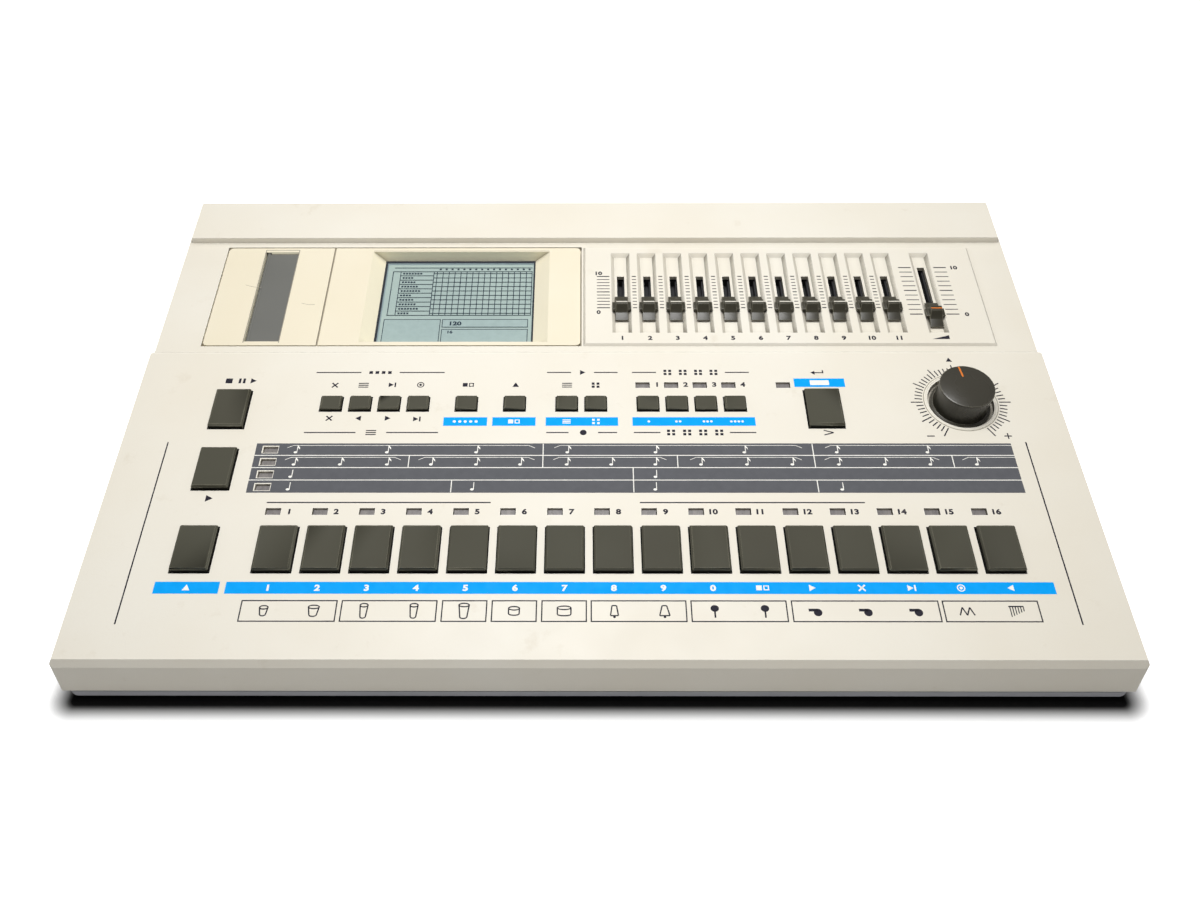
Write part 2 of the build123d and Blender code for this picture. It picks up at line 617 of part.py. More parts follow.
def panel_holes():
    """Holes for the keys, buttons, lamps, faders, dial and escutcheon."""
    below = -WALL - OVERCUT
    gap = 2 * KEY_GAP
    holes = [panel_box(u, v, KEY_WIDTH + gap, KEY_LENGTH + gap, OVERCUT, below) for u, v in large_keys()]
    holes += [
        panel_box(u, v, BUTTON_WIDTH + gap, BUTTON_LENGTH + gap, OVERCUT, below) for u, v in buttons()
    ]
    holes += [panel_box(u, v, LAMP_WIDTH, LAMP_LENGTH, OVERCUT, below) for u, v in lamps()]
    for u, minimum, travel in faders():
        v, length = lever_slot(minimum, travel)
        holes.append(trough(u))
        holes.append(panel_box(u, v, SLOT_WIDTH, length, OVERCUT, below))
    width = ESCUTCHEON_WIDTH + 2 * ESCUTCHEON_GAP
    length = ESCUTCHEON_LENGTH + 2 * ESCUTCHEON_GAP
    holes.append(panel_box(ESCUTCHEON_U, ESCUTCHEON_V, width, length, OVERCUT, below))
    holes.append(panel_post(DIAL_U, DIAL_V, DIAL_WELL_R, OVERCUT, -DIAL_WELL_DEPTH))
    holes.append(panel_post(DIAL_U, DIAL_V, SHAFT_R + RUNNING, OVERCUT, -DIAL_WELL_DEPTH - WALL - OVERCUT))
    return holes


def joint_line():
    """Shallow line across the panel, between the keys and the display."""
    return panel_box(0, MAIN_PANEL_LENGTH, CASE_WIDTH, JOINT_LINE, OVERCUT, -JOINT_LINE)


def rear_cutouts():
    """Recess in the rear wall, and its windows for the sockets and the power button."""
    gap = 2 * KEY_GAP
    front = SOCKET_Y - WALL - OVERCUT
    rear = SOCKET_Y + OVERCUT
    recess_z = (RECESS_LOW + RECESS_HIGH) / 2
    cuts = [rear_box(0, recess_z, RECESS_WIDTH, RECESS_HIGH - RECESS_LOW, SOCKET_Y, FAR)]
    middle = JACK_X + (JACK_COUNT - 1) / 2 * JACK_PITCH
    length = (JACK_COUNT - 1) * JACK_PITCH + JACK_SIZE + gap
    cuts.append(rear_box(middle, JACK_Z, length, JACK_SIZE + gap, front, rear))
    cuts += [rear_box(x, DIN_Z, DIN_BODY + gap, DIN_BODY + gap, front, rear) for x in DIN_X]
    squares = [(x, MINI_SIZE) for x in MINI_X]
    squares += [(POWER_IN_X, POWER_IN_SIZE), (POWER_SWITCH_X, POWER_BUTTON)]
    return cuts + [rear_box(x, JACK_Z, size + gap, size + gap, front, rear) for x, size in squares]


def make_upper_case():
    case = case_block() - case_hollow() + raised_field() + inner_bosses()
    pilots = [upright_prism(x, y, PILOT_R, 0, FLOOR_Z + SCREW_LENGTH) for x, y in screw_posts()]
    return case - panel_holes() - joint_line() - rear_cutouts() - pilots


# ---- Lower case and what it holds ----
def lower_size(inset):
    """Width and depth of the case's plan, drawn in by an inset."""
    return (CASE_WIDTH - 2 * inset, CASE_DEPTH - 2 * inset)


def cover_tabs():
    """(x, y) of the middle of each tab on the battery cover's long edges."""
    edge = COVER_WIDTH / 2
    return [(BAY_X + offset_x, BAY_Y + side * edge) for offset_x in COVER_TAB_OFFSETS for side in (-1, 1)]


def cover_recess():
    """Recess in the underside for the battery cover, with a groove and a notch for each tab."""
    top = COVER_TOP_Z + SEAT
    gap = 2 * COVER_GAP
    length = COVER_LENGTH + COVER_TRAVEL + gap
    cuts = [upright_box(BAY_X + COVER_TRAVEL / 2, BAY_Y, length, COVER_WIDTH + gap, 0, top)]
    reach = 2 * (COVER_TAB_OUT + COVER_GAP)
    rail = BASE_Z + COVER_RAIL
    for x, y in cover_tabs():
        run = COVER_TAB_LENGTH + COVER_TRAVEL + gap
        cuts.append(upright_box(x + COVER_TRAVEL / 2, y, run, reach, rail, top))
        cuts.append(upright_box(x + COVER_TRAVEL, y, COVER_TAB_LENGTH + gap, reach, 0, top))
    return cuts


def make_lower_case():
    width, depth = lower_size(LOWER_INSET)
    forward = LOWER_INSET - LOWER_FRONT_INSET
    plan = RectangleRounded(width, depth + forward, LOWER_CORNER)
    tray = Pos(0, -forward / 2, BASE_Z) * extrude(plan, amount=FLOOR)
    rim_inset = REAR_INSET + WALL + RIM_CLEARANCE
    rim = Rectangle(*lower_size(rim_inset)) - Rectangle(*lower_size(rim_inset + RIM_WALL))
    tray += Pos(0, 0, FLOOR_Z) * extrude(rim, amount=RIM_HEIGHT)
    wall = 2 * BAY_WALL
    tray += upright_box(BAY_X, BAY_Y, BAY_LENGTH + wall, BAY_WIDTH + wall, FLOOR_Z, BAY_CEILING + BAY_WALL)
    boss = (BOSS_SIZE, BOSS_SIZE)
    tray += [upright_box(x, y, *boss, FLOOR_Z, MAIN_BOARD_Z - SEAT) for x, y in main_board_bosses()]
    tray -= upright_box(BAY_X, BAY_Y, BAY_LENGTH, BAY_WIDTH, 0, BAY_CEILING)
    tray -= cover_recess()
    for x, y in screw_posts():
        tray -= upright_prism(x, y, SCREW_R + RUNNING, 0, FLOOR_Z + OVERCUT)
        tray -= upright_prism(x, y, SCREW_HEAD_R + RUNNING, 0, BASE_Z + SCREW_HEAD_HEIGHT)
    return tray


def make_battery_cover():
    """Sliding cover, flush with the underside, with tabs behind its rails and finger grooves."""
    cover = upright_box(BAY_X, BAY_Y, COVER_LENGTH, COVER_WIDTH, BASE_Z, COVER_TOP_Z)
    low = BASE_Z + COVER_RAIL + COVER_GAP
    tab_width = 2 * COVER_TAB_OUT
    cover += [upright_box(x, y, COVER_TAB_LENGTH, tab_width, low, COVER_TOP_Z) for x, y in cover_tabs()]
    columns = row(BAY_X - COVER_LENGTH / 2 + GRIP_EDGE, GRIP_PITCH, GRIP_COUNT)
    grip = (GRIP_WIDTH, COVER_WIDTH / 2)
    return cover - [upright_box(x, BAY_Y, *grip, 0, BASE_Z + GRIP_DEPTH) for x in columns]


def make_rubber_feet():
    """Four round rubber feet under the lower case."""
    foot = Cylinder(FOOT_R, FOOT_HEIGHT)
    spots = [(x, y) for x in (-FOOT_X, FOOT_X) for y in (-FOOT_Y, FOOT_Y)]
    return Compound(children=[Pos(x, y, FOOT_HEIGHT / 2) * foot for x, y in spots])


def make_case_screws():
    """Screws that hold the lower case to the posts of the upper case."""
    head = BASE_Z + SEAT
    neck = BASE_Z + SCREW_HEAD_HEIGHT - SEAT
    screws = []
    for x, y in screw_posts():
        shank = upright_prism(x, y, SCREW_R, head, BASE_Z + SCREW_LENGTH)
        screws.append(upright_prism(x, y, SCREW_HEAD_R, head, neck) + shank)
    return Compound(children=screws)


# ---- Keys, buttons and lamps ----
def make_key(u, v, width, length, rise, edge):
    """Key cap with its flange and stem, for a hole in the panel."""
    cap = extrude(Rectangle(width, length), amount=rise - KEY_FLANGE_TOP)
    cap = chamfer(cap.faces().sort_by(Axis.Z)[-1].edges(), edge)
    cap = PANEL * Pos(u, v, KEY_FLANGE_TOP) * cap
    lap = 2 * (KEY_GAP + KEY_LAP)
    flange = panel_box(u, v, width + lap, length + lap, KEY_FLANGE_TOP, KEY_BOTTOM)
    return cap + flange + panel_box(u, v, STEM_SIZE, STEM_SIZE, KEY_BOTTOM, STEM_END)


def make_large_key(u, v):
    return make_key(u, v, KEY_WIDTH, KEY_LENGTH, KEY_RISE, KEY_CHAMFER)


def make_button(u, v):
    return make_key(u, v, BUTTON_WIDTH, BUTTON_LENGTH, BUTTON_RISE, BUTTON_CHAMFER)


def make_key_switches():
    """One push switch under each key and button, standing on the panel board."""
    size = (SWITCH_WIDTH, SWITCH_LENGTH)
    foot = PANEL_BOARD_W + SEAT
    spots = large_keys() + buttons()
    return Compound(children=[panel_box(u, v, *size, SWITCH_TOP, foot) for u, v in spots])


def make_led_lenses():
    """Rectangular lamps, each standing on the panel board in its window."""
    width = LAMP_WIDTH - 2 * LAMP_GAP
    length = LAMP_LENGTH - 2 * LAMP_GAP
    foot = PANEL_BOARD_W + SEAT
    return Compound(children=[panel_box(u, v, width, length, -LAMP_SUNK, foot) for u, v in lamps()])


# ---- Faders and dial ----
def make_fader(u, v):
    """Fader cap with its ridge, pointer wings and lever."""
    bottom = TROUGH_FLOOR_W + CAP_LIFT
    crest = CAP_RIDGE_LENGTH / 2
    rising = [
        (-CAP_HALF_LENGTH, bottom),
        (-CAP_HALF_LENGTH, bottom + CAP_TOE),
        (-CAP_HALF_LENGTH / 2, bottom + CAP_SHELF),
        (-crest - CAP_SHOULDER_RUN, CAP_SHOULDER),
        (-crest, CAP_RIDGE),
    ]
    falling = [(-along, height) for along, height in reversed(rising)]
    cap = extrude(Plane.YZ * polygon(*rising, *falling), amount=CAP_WIDTH / 2, both=True)
    foot = CAP_WIDTH / 2
    top = CAP_RIDGE_WIDTH / 2
    section = polygon((-foot, bottom), (-top, CAP_RIDGE), (top, CAP_RIDGE), (foot, bottom))
    cap &= extrude(Plane.XZ * section, amount=CAP_HALF_LENGTH, both=True)
    wing_low = FIELD_RISE + RUNNING
    wings = panel_box(u, v, CAP_WING_SPAN, CAP_WING_LENGTH, wing_low + CAP_WING_THICKNESS, wing_low)
    lever = panel_box(u, v, LEVER_WIDTH, LEVER_LENGTH, bottom + CAP_TOE, LEVER_FOOT)
    return PANEL * Pos(u, v, 0) * cap + wings + lever


def make_panel_pots():
    """Slide potentiometers behind the faders and the rotary one behind the dial."""
    bodies = []
    for u, minimum, travel in faders():
        v, length = lever_slot(minimum, travel)
        body = panel_box(u, v, POT_WIDTH, length + 2 * POT_END, POT_TOP_W, FADER_BOARD_W + SEAT)
        width = LEVER_WIDTH + 2 * KEY_GAP
        bodies.append(body - panel_box(u, v, width, length, POT_TOP_W + OVERCUT, LEVER_FOOT - RUNNING))
    top = -DIAL_WELL_DEPTH - WALL - RUNNING
    rotary = panel_box(DIAL_U, DIAL_V, ROTARY_SIZE, ROTARY_SIZE, top, PANEL_BOARD_W + SEAT)
    floor = PANEL_BOARD_W + SHAFT_LIFT - RUNNING
    bore = 2 * (SHAFT_R + RUNNING)
    bodies.append(rotary - panel_box(DIAL_U, DIAL_V, bore, bore, top + OVERCUT, floor))
    return Compound(children=bodies)


def make_tempo_knob():
    """Knob with its skirt, its pointer groove and its six-sided shaft."""
    low = RUNNING - DIAL_WELL_DEPTH
    grip = Pos(0, 0, (KNOB_RISE + low) / 2) * Cylinder(KNOB_R, KNOB_RISE - low)
    pointer_v = KNOB_R - POINTER_EDGE - POINTER_LENGTH / 2
    grip -= Pos(0, pointer_v, KNOB_RISE) * Box(POINTER_WIDTH, POINTER_LENGTH, 2 * POINTER_DEPTH)
    skirt = Pos(0, 0, low + KNOB_SKIRT_HEIGHT / 2) * Cylinder(KNOB_SKIRT_R, KNOB_SKIRT_HEIGHT)
    shaft_end = PANEL_BOARD_W + SHAFT_LIFT
    shaft = extrude(RegularPolygon(SHAFT_R, SIDES), amount=low + RUNNING - shaft_end)
    shaft = Pos(0, 0, shaft_end) * shaft
    return PANEL * Pos(DIAL_U, DIAL_V, 0) * Rot(0, 0, POINTER_REST) * (grip + skirt + shaft)


# ---- Display and cartridge slot ----
def make_display_escutcheon():
    """Moulding round the display and the cartridge slot, with its bezel, chute and rear flange."""
    lap = 2 * (ESCUTCHEON_GAP + ESCUTCHEON_LAP)
    flange_top = -WALL - SEAT
    face = RectangleRounded(ESCUTCHEON_WIDTH, ESCUTCHEON_LENGTH, ESCUTCHEON_CORNER)
    body = PANEL * Pos(ESCUTCHEON_U, ESCUTCHEON_V, 0) * extrude(face, amount=flange_top)
    flange_size = (ESCUTCHEON_WIDTH + lap, ESCUTCHEON_LENGTH + lap)
    body += panel_box(ESCUTCHEON_U, ESCUTCHEON_V, *flange_size, flange_top, flange_top - ESCUTCHEON_FLANGE)
    bezel_size = (WINDOW_WIDTH + 2 * BEZEL_WALL, WINDOW_LENGTH + 2 * BEZEL_WALL)
    body += panel_box(WINDOW_U, WINDOW_V, *bezel_size, 0, -GLASS_DEPTH)
    wall = 2 * CHUTE_WALL
    chute_size = (CARTRIDGE_WIDTH + wall, CARTRIDGE_LENGTH + wall)
    body += panel_box(CARTRIDGE_U, CARTRIDGE_V, *chute_size, 0, -CHUTE_DEPTH)
    slope = funnel(
        (WINDOW_WIDTH, WINDOW_LENGTH),
        (WINDOW_WIDTH + BEZEL_LEFT + BEZEL_RIGHT, WINDOW_LENGTH + 2 * BEZEL_ENDS),
        GLASS_DEPTH,
        (BEZEL_RIGHT - BEZEL_LEFT) / 2,
    )
    rim_size = (CARTRIDGE_WIDTH + 2 * CARTRIDGE_RIM, CARTRIDGE_LENGTH + 2 * CARTRIDGE_RIM)
    rim = funnel((CARTRIDGE_WIDTH, CARTRIDGE_LENGTH), rim_size, FLAP_SUNK)
    slot_size = (CARTRIDGE_WIDTH, CARTRIDGE_LENGTH)
    hinge_room = FLAP_BARREL_R + RUNNING
    hinge_size = (2 * hinge_room, CARTRIDGE_LENGTH + 2 * (FLAP_PIN + RUNNING))
    groove_size = (ESCUTCHEON_GROOVE, ESCUTCHEON_LENGTH)
    return body - [
        PANEL * Pos(WINDOW_U, WINDOW_V, -GLASS_DEPTH) * slope,
        PANEL * Pos(CARTRIDGE_U, CARTRIDGE_V, -FLAP_SUNK) * rim,
        panel_box(CARTRIDGE_U, CARTRIDGE_V, *slot_size, -FLAP_SUNK, -CHUTE_DEPTH - OVERCUT),
        PANEL * Pos(FLAP_AXIS_U, CARTRIDGE_V, FLAP_AXIS_W) * Box(*hinge_size, 2 * hinge_room),
        panel_box(ESCUTCHEON_GROOVE_U, ESCUTCHEON_V, *groove_size, OVERCUT, -ESCUTCHEON_GROOVE),
    ]


def make_cartridge_flap():
    """Flap in the cartridge slot, with its hinge barrel and pins along the left edge."""
    width = CARTRIDGE_U + CARTRIDGE_WIDTH / 2 - KEY_GAP - FLAP_AXIS_U
    length = CARTRIDGE_LENGTH - 2 * KEY_GAP
    bottom = -FLAP_SUNK - FLAP_THICKNESS
    plate = panel_box(FLAP_AXIS_U + width / 2, CARTRIDGE_V, width, length, -FLAP_SUNK, bottom)
    pin = Rot(90, 0, 0) * Cylinder(FLAP_BARREL_R, CARTRIDGE_LENGTH + 2 * FLAP_PIN)
    return plate + PANEL * Pos(FLAP_AXIS_U, CARTRIDGE_V, FLAP_AXIS_W) * pin


def make_lcd_module():
    """Glass and board of the display, behind the bezel."""
    glass_top = -GLASS_DEPTH - SEAT
    lap = 2 * GLASS_LAP
    glass_size = (WINDOW_WIDTH + lap, WINDOW_LENGTH + lap)
    glass = panel_box(WINDOW_U, WINDOW_V, *glass_size, glass_top, glass_top - GLASS_THICKNESS)
    board_top = glass_top - GLASS_THICKNESS - SEAT
    board_size = (WINDOW_WIDTH + 2 * DISPLAY_BOARD_SIDE, WINDOW_LENGTH + 2 * DISPLAY_BOARD_END)
    plate = panel_box(WINDOW_U, WINDOW_V, *board_size, board_top, board_top - BOARD)
    return Compound(children=[glass, plate])


# ---- Boards and sockets ----
def board(left, right, front, rear, top):
    """Circuit board behind the panel, from its edges."""
    return panel_box((left + right) / 2, (front + rear) / 2, right - left, rear - front, top, top - BOARD)


def cartridge_board():
    """Board under the chute with the socket that takes a cartridge's edge."""
    top = -CHUTE_DEPTH - SEAT
    width = CARTRIDGE_WIDTH + 2 * (CHUTE_WALL + CARTRIDGE_BOARD_SIDE)
    length = CARTRIDGE_LENGTH + 2 * (CHUTE_WALL + CARTRIDGE_BOARD_END)
    plate = panel_box(CARTRIDGE_U, CARTRIDGE_V, width, length, top, top - BOARD)
    rise = top + CONTACT_HEIGHT
    plate += panel_box(CARTRIDGE_U, CARTRIDGE_V, CONTACT_WIDTH, CONTACT_LENGTH, rise, top)
    slot_size = (CONTACT_SLOT, CONTACT_LENGTH - 2 * CONTACT_END)
    return plate - panel_box(CARTRIDGE_U, CARTRIDGE_V, *slot_size, rise + OVERCUT, top + CONTACT_FLOOR)


def make_circuit_boards():
    """Panel board, fader board, cartridge board with its socket, and main board."""
    panel = board(
        TRANSPORT_U - PANEL_BOARD_SIDE, DIAL_U + PANEL_BOARD_SIDE,
        STEP_V - PANEL_BOARD_FRONT, GROUP_LAMP_V + PANEL_BOARD_REAR, PANEL_BOARD_W,
    )
    boss_rows = [v for _, v in fader_board_bosses()]
    fader = board(
        FADER_U - FADER_BOARD_SIDE, VOLUME_U + FADER_BOARD_SIDE,
        min(boss_rows) - FADER_BOARD_END, max(boss_rows) + FADER_BOARD_END, FADER_BOARD_W,
    )
    rear = SOCKET_Y - WALL - MAIN_BOARD_GAP
    width = 2 * (POST_X - POST_SIZE / 2 - MAIN_BOARD_SIDE)
    middle = (MAIN_BOARD_FRONT + rear) / 2
    main_board = upright_box(
        0, middle, width, rear - MAIN_BOARD_FRONT, MAIN_BOARD_Z, MAIN_BOARD_Z + BOARD
    )
    return Compound(children=[panel, fader, cartridge_board(), main_board])


def bored_block(x, size, depth, face, bore_r, bore_depth):
    """Square socket body whose face has a round bore, standing on the main board."""
    top = JACK_Z + size / 2
    body = rear_box(x, (SOCKET_SEAT_Z + top) / 2, size, top - SOCKET_SEAT_Z, face - depth, SOCKET_INNER_Y)
    body += rear_box(x, JACK_Z, size, size, SOCKET_INNER_Y - OVERCUT, face)
    return body - rear_post(x, JACK_Z, bore_r, face - bore_depth, face + OVERCUT)


def make_line_jacks():
    """Row of quarter-inch jacks: square noses side by side in one window of the rear wall."""
    face = SOCKET_Y - JACK_SUNK
    return Compound(
        children=[
            bored_block(x, JACK_SIZE, JACK_DEPTH, face, JACK_BORE_R, JACK_BORE_DEPTH)
            for x in row(JACK_X, JACK_PITCH, JACK_COUNT)
        ]
    )


def din_socket(x):
    """Socket for a round plug: a square body on the main board with a ring sunk round its core."""
    face = SOCKET_Y + SOCKET_PROUD
    body = rear_box(x, DIN_Z, DIN_BODY, DIN_BODY, face - DIN_BODY_DEPTH, face)
    ring = rear_post(x, DIN_Z, DIN_PLUG_R, face - DIN_DEPTH, face + OVERCUT)
    ring -= rear_post(x, DIN_Z, DIN_CORE_R, face - DIN_DEPTH - OVERCUT, face - DIN_CORE_SUNK)
    return body - ring


def power_inlet():
    """Low-voltage inlet: a square block with a round bore and a centre pin."""
    body = bored_block(
        POWER_IN_X, POWER_IN_SIZE, POWER_IN_DEPTH, SOCKET_Y, POWER_IN_BORE_R, POWER_IN_BORE_DEPTH
    )
    pin_front = SOCKET_Y - POWER_IN_BORE_DEPTH - OVERCUT
    return body + rear_post(POWER_IN_X, JACK_Z, POWER_IN_PIN_R, pin_front, SOCKET_Y - OVERCUT)


def power_switch_body():
    """Housing behind the wall that the power button slides in."""
    room = POWER_BUTTON_LENGTH - WALL - POWER_BUTTON_PROUD + POWER_TRAVEL + RUNNING
    front = SOCKET_INNER_Y - room - WALL
    body = rear_box(POWER_SWITCH_X, JACK_Z, POWER_SWITCH_SIZE, POWER_SWITCH_SIZE, front, SOCKET_INNER_Y)
    bore = POWER_BUTTON + 2 * RUNNING
    return body - rear_box(POWER_SWITCH_X, JACK_Z, bore, bore, front + WALL, SOCKET_Y)


def make_rear_sockets():
    parts = [din_socket(x) for x in DIN_X]
    bore = (MINI_BORE_R, MINI_BORE_DEPTH)
    parts += [bored_block(x, MINI_SIZE, MINI_DEPTH, SOCKET_Y, *bore) for x in MINI_X]
    return Compound(children=parts + [power_inlet(), power_switch_body()])


def make_power_button():
    """Square push button, out at rest."""
    rear = SOCKET_Y + POWER_BUTTON_PROUD
    button = rear_box(POWER_SWITCH_X, JACK_Z, POWER_BUTTON, POWER_BUTTON, rear - POWER_BUTTON_LENGTH, rear)
    return chamfer(button.faces().sort_by(Axis.Y)[-1].edges(), POWER_BUTTON_CHAMFER)


def write(name, shape):
    shape.label = name
    export_step(shape, f"parts/{name}.step")


def main():
    os.makedirs("parts", exist_ok=True)
    write("upper_case", make_upper_case())
    write("lower_case", make_lower_case())
    write("display_escutcheon", make_display_escutcheon())
    write("cartridge_flap", make_cartridge_flap())
    write("lcd_module", make_lcd_module())
    write("led_lenses", make_led_lenses())
    write("key_switches", make_key_switches())
    write("panel_pots", make_panel_pots())
    write("circuit_boards", make_circuit_boards())
    write("line_jacks", make_line_jacks())
    write("rear_sockets", make_rear_sockets())
    write("power_button", make_power_button())
    write("battery_cover", make_battery_cover())
    write("rubber_feet", make_rubber_feet())
    write("case_screws", make_case_screws())
    write("tempo_knob", make_tempo_knob())
    for number, (u, v) in enumerate(step_keys(), 1):
        write(f"step_key_{number:02d}", make_large_key(u, v))
    for name, (u, v) in other_keys().items():
        write(name, make_large_key(u, v))
    for number, (u, v) in enumerate(buttons(), 1):
        write(f"button_{number:02d}", make_button(u, v))
    for number, (u, v, _) in enumerate(faders()[:-1], 1):
        write(f"fader_{number:02d}", make_fader(u, v))
    write("volume_fader", make_fader(VOLUME_U, VOLUME_MIN_V))


main()
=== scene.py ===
"""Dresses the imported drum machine: finishes, printed marks, the display's picture and the studio.

Places on the sloping panel are given in millimetres as (u, v, w): across from its middle, up it
from its front edge, and out of it. Places elsewhere on the object are in millimetres as well.
Blender's own values are in metres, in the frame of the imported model.
"""

from math import cos, pi, radians, sin

import bmesh
import bpy
from mathutils import Matrix, Vector


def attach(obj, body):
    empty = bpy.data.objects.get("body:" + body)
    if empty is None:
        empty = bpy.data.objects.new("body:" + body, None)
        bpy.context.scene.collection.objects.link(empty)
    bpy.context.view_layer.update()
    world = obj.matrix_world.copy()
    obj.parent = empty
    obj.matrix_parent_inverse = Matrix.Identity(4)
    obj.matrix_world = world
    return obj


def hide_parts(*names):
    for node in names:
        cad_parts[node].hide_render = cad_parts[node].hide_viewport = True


MM = 0.001

# Panel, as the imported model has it. The four numbers of a box are its left, front, right and rear.
PANEL_FRONT = Vector((0, -0.1235, 0.0214))
PANEL_TILT = Matrix.Rotation(radians(12), 4, "X")
PANEL_OUT = PANEL_TILT @ Vector((0, 0, 1))
SEAM_V = 142.7  # joint line between the two parts of the panel
SEAM_END = 187.9
SEAM_FILL = 0.48
FIELD_RISE = 1.0
GLASS = (-96.0, 149.8, -27.0, 204.3)
GLASS_DEPTH = 5.0
KEY_PITCH = 17.78
STEP_COUNT = 16
STEP_U = 14.8  # middle of the row of step keys
STEP_SYMBOL_V = 28.3
BUTTON_PITCH = 11.8
FADER_COUNT = 11
FADER_U = 11.65
FADER_V = (168.2, 187.8)
VOLUME_U = 147.3
VOLUME_V = (164.2, 193.4)
CAP_RISE = 4.8
DIAL = (148.6, 115.2)
DIAL_TOP = 9.99
DIAL_TICKS = (15.5, 18.5, 20.3)  # where a tick starts, and where a short and a long one end
POINTER_TURN = radians(8)
LAMP_HOLE = (5.9, 3.1)
SCALE_LAMP_U = -128.5
SCALE_ROW_V = (72.65, 78.7, 84.75, 90.8)
STRIP = (-134.4, 70.05, 163.8, 93.95)

# Underside and rear
BAY = (-90.0, -38.0)
COVER_Z = 1.8
SCREWS = [(side * 178.0, y) for side in (-1, 1) for y in (-108.0, -20.0, 86.0)]
SCREW_HEAD_Z = 1.95
JACK_COUNT = 15
JACK_X = -160.0
JACK_PITCH = 14.5
JACK_Z = 28.0
JACK_NUMBER_Z = 38.6
JACK_FACE = 120.9
SOCKET_Y = 121.5
MINI_X = (126.0, 136.5)
DIN_X = (64.0, 87.0, 110.0)
DIN_Z = 30.2
DIN_CORE_Y = 121.1
DIN_HOLE_CIRCLE = 3.75
DIN_HOLE = 0.75

# Rounded edges: the width of each cut, and the angle in degrees up to which it leaves them alone
KEY_CUTS = ((0.5, 75), (0.12, 35))
FADER_CUTS = ((0.14, 25),)
SMALL_CUTS = ((0.3, 60),)

# Ink
INK = 0.03  # thickness
HAIRLINE = 0.45
THIN = 0.48
RULE = 0.52
CAP_HEIGHT = 2.4
WIDEN = 1.2  # how much wider than the font's the digits are
BOLD = 0.06  # how far the outlines of digits are swelled, as a share of their height
FONT_CAP = 0.729  # height of a digit in a font of size 1

# Camera: a lens 32.5 mm long on a sensor 36 mm wide, above the front edge and looking down
CAMERA_PLACE = (-5.15, -169.4, 339.3)  # on the panel's axes
CAMERA_DOWN = radians(40.53)
CAMERA_TURN = radians(0.37)
CAMERA_ROLL = radians(-0.24)
LENS = 32.54
SENSOR = 36.0
SHIFT = 0.0185

# Studio, in metres
FLOOR_HALF = 4.0
FOOTPRINT = (0.185, 0.125, 1.0)  # half sizes of the floor's painted shadow
SHADOW_CLOSE = (0.002, 0.012)  # how far outside the footprint the painted shadow fades
SHADOW_FAR = (0.003, 0.018)  # how far outside it the floor turns to white
# colour of the painted shadow, as the camera sees it
SHADOW = (0.01, 0.01, 0.01, 1)
WHITE = (1, 1, 1, 1)
PAPER = (0.75, 0.75, 0.75, 1)  # the floor as the object sees it
SKY = (0.12, 0.3)  # strength of the world's light from the horizon and from above
LAMP_PLACE = (-0.01, -0.02, 0.64)
LAMP_AIM = (-0.01, -0.03, 0.03)
LAMP_SIZE = (0.34, 0.26)
LAMP_POWER = 3.6


def on_panel(u, v, w):
    """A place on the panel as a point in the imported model's frame."""
    return PANEL_FRONT + PANEL_TILT @ (Vector((u, v, w)) * MM)


def panel_matrix(u=0.0, v=0.0, w=0.0):
    """Axes of the panel with their origin at a place on it."""
    return Matrix.Translation(on_panel(u, v, w)) @ PANEL_TILT


def rear_matrix(x, y, z):
    """Axes on the rear wall: across to the left as seen from the front, up, and out to the rear."""
    turn = Matrix(((-1, 0, 0, 0), (0, 0, 1, 0), (0, 1, 0, 0), (0, 0, 0, 1)))
    return Matrix.Translation(Vector((x, y, z)) * MM) @ turn


def underside_matrix(x, y, z):
    """Axes on the underside, with the third one down."""
    return Matrix.Translation(Vector((x, y, z)) * MM) @ Matrix.Rotation(pi, 4, "X")


def is_key(name):
    """Whether a node is a large key or a small button."""
    return name.startswith(("step_key_", "button_")) or name.endswith("_key")


def step_u(i):
    """Middle of a step key, counted from 0."""
    return STEP_U - KEY_PITCH * (STEP_COUNT - 1) / 2 + i * KEY_PITCH


def oval(u, v, across, along, steps):
    """Points round an oval with two half sizes."""
    turns = [2 * pi * i / steps for i in range(steps)]
    return [(u + across * cos(a), v + along * sin(a)) for a in turns]


def corners(left, front, right, rear):
    """Points round a box."""
    return [(left, front), (right, front), (right, rear), (left, rear)]


# Colours and materials


def srgb(*parts):
    """A colour given as 0 to 255 on a screen, as a linear colour."""

    def linear(value):
        part = value / 255
        return part / 12.92 if part <= 0.04045 else ((part + 0.055) / 1.055) ** 2.4

    return tuple(linear(part) for part in parts) + (1.0,)


class Tree:
    """A node tree whose nodes are made with their settings and inputs."""

    def __init__(self, tree):
        self.nodes = tree.nodes
        self.links = tree.links

    def feed(self, socket, value):
        """Links an input to an output, or sets its value."""
        if isinstance(value, bpy.types.NodeSocket):
            self.links.new(value, socket)
        else:
            socket.default_value = value

    def node(self, kind, inputs=None, **settings):
        """A new node. inputs are by name or number, each an output of another node or a value."""
        made = self.nodes.new(kind)
        for key, value in settings.items():
            setattr(made, key, value)
        for key, value in (inputs or {}).items():
            self.feed(made.inputs[key], value)
        return made


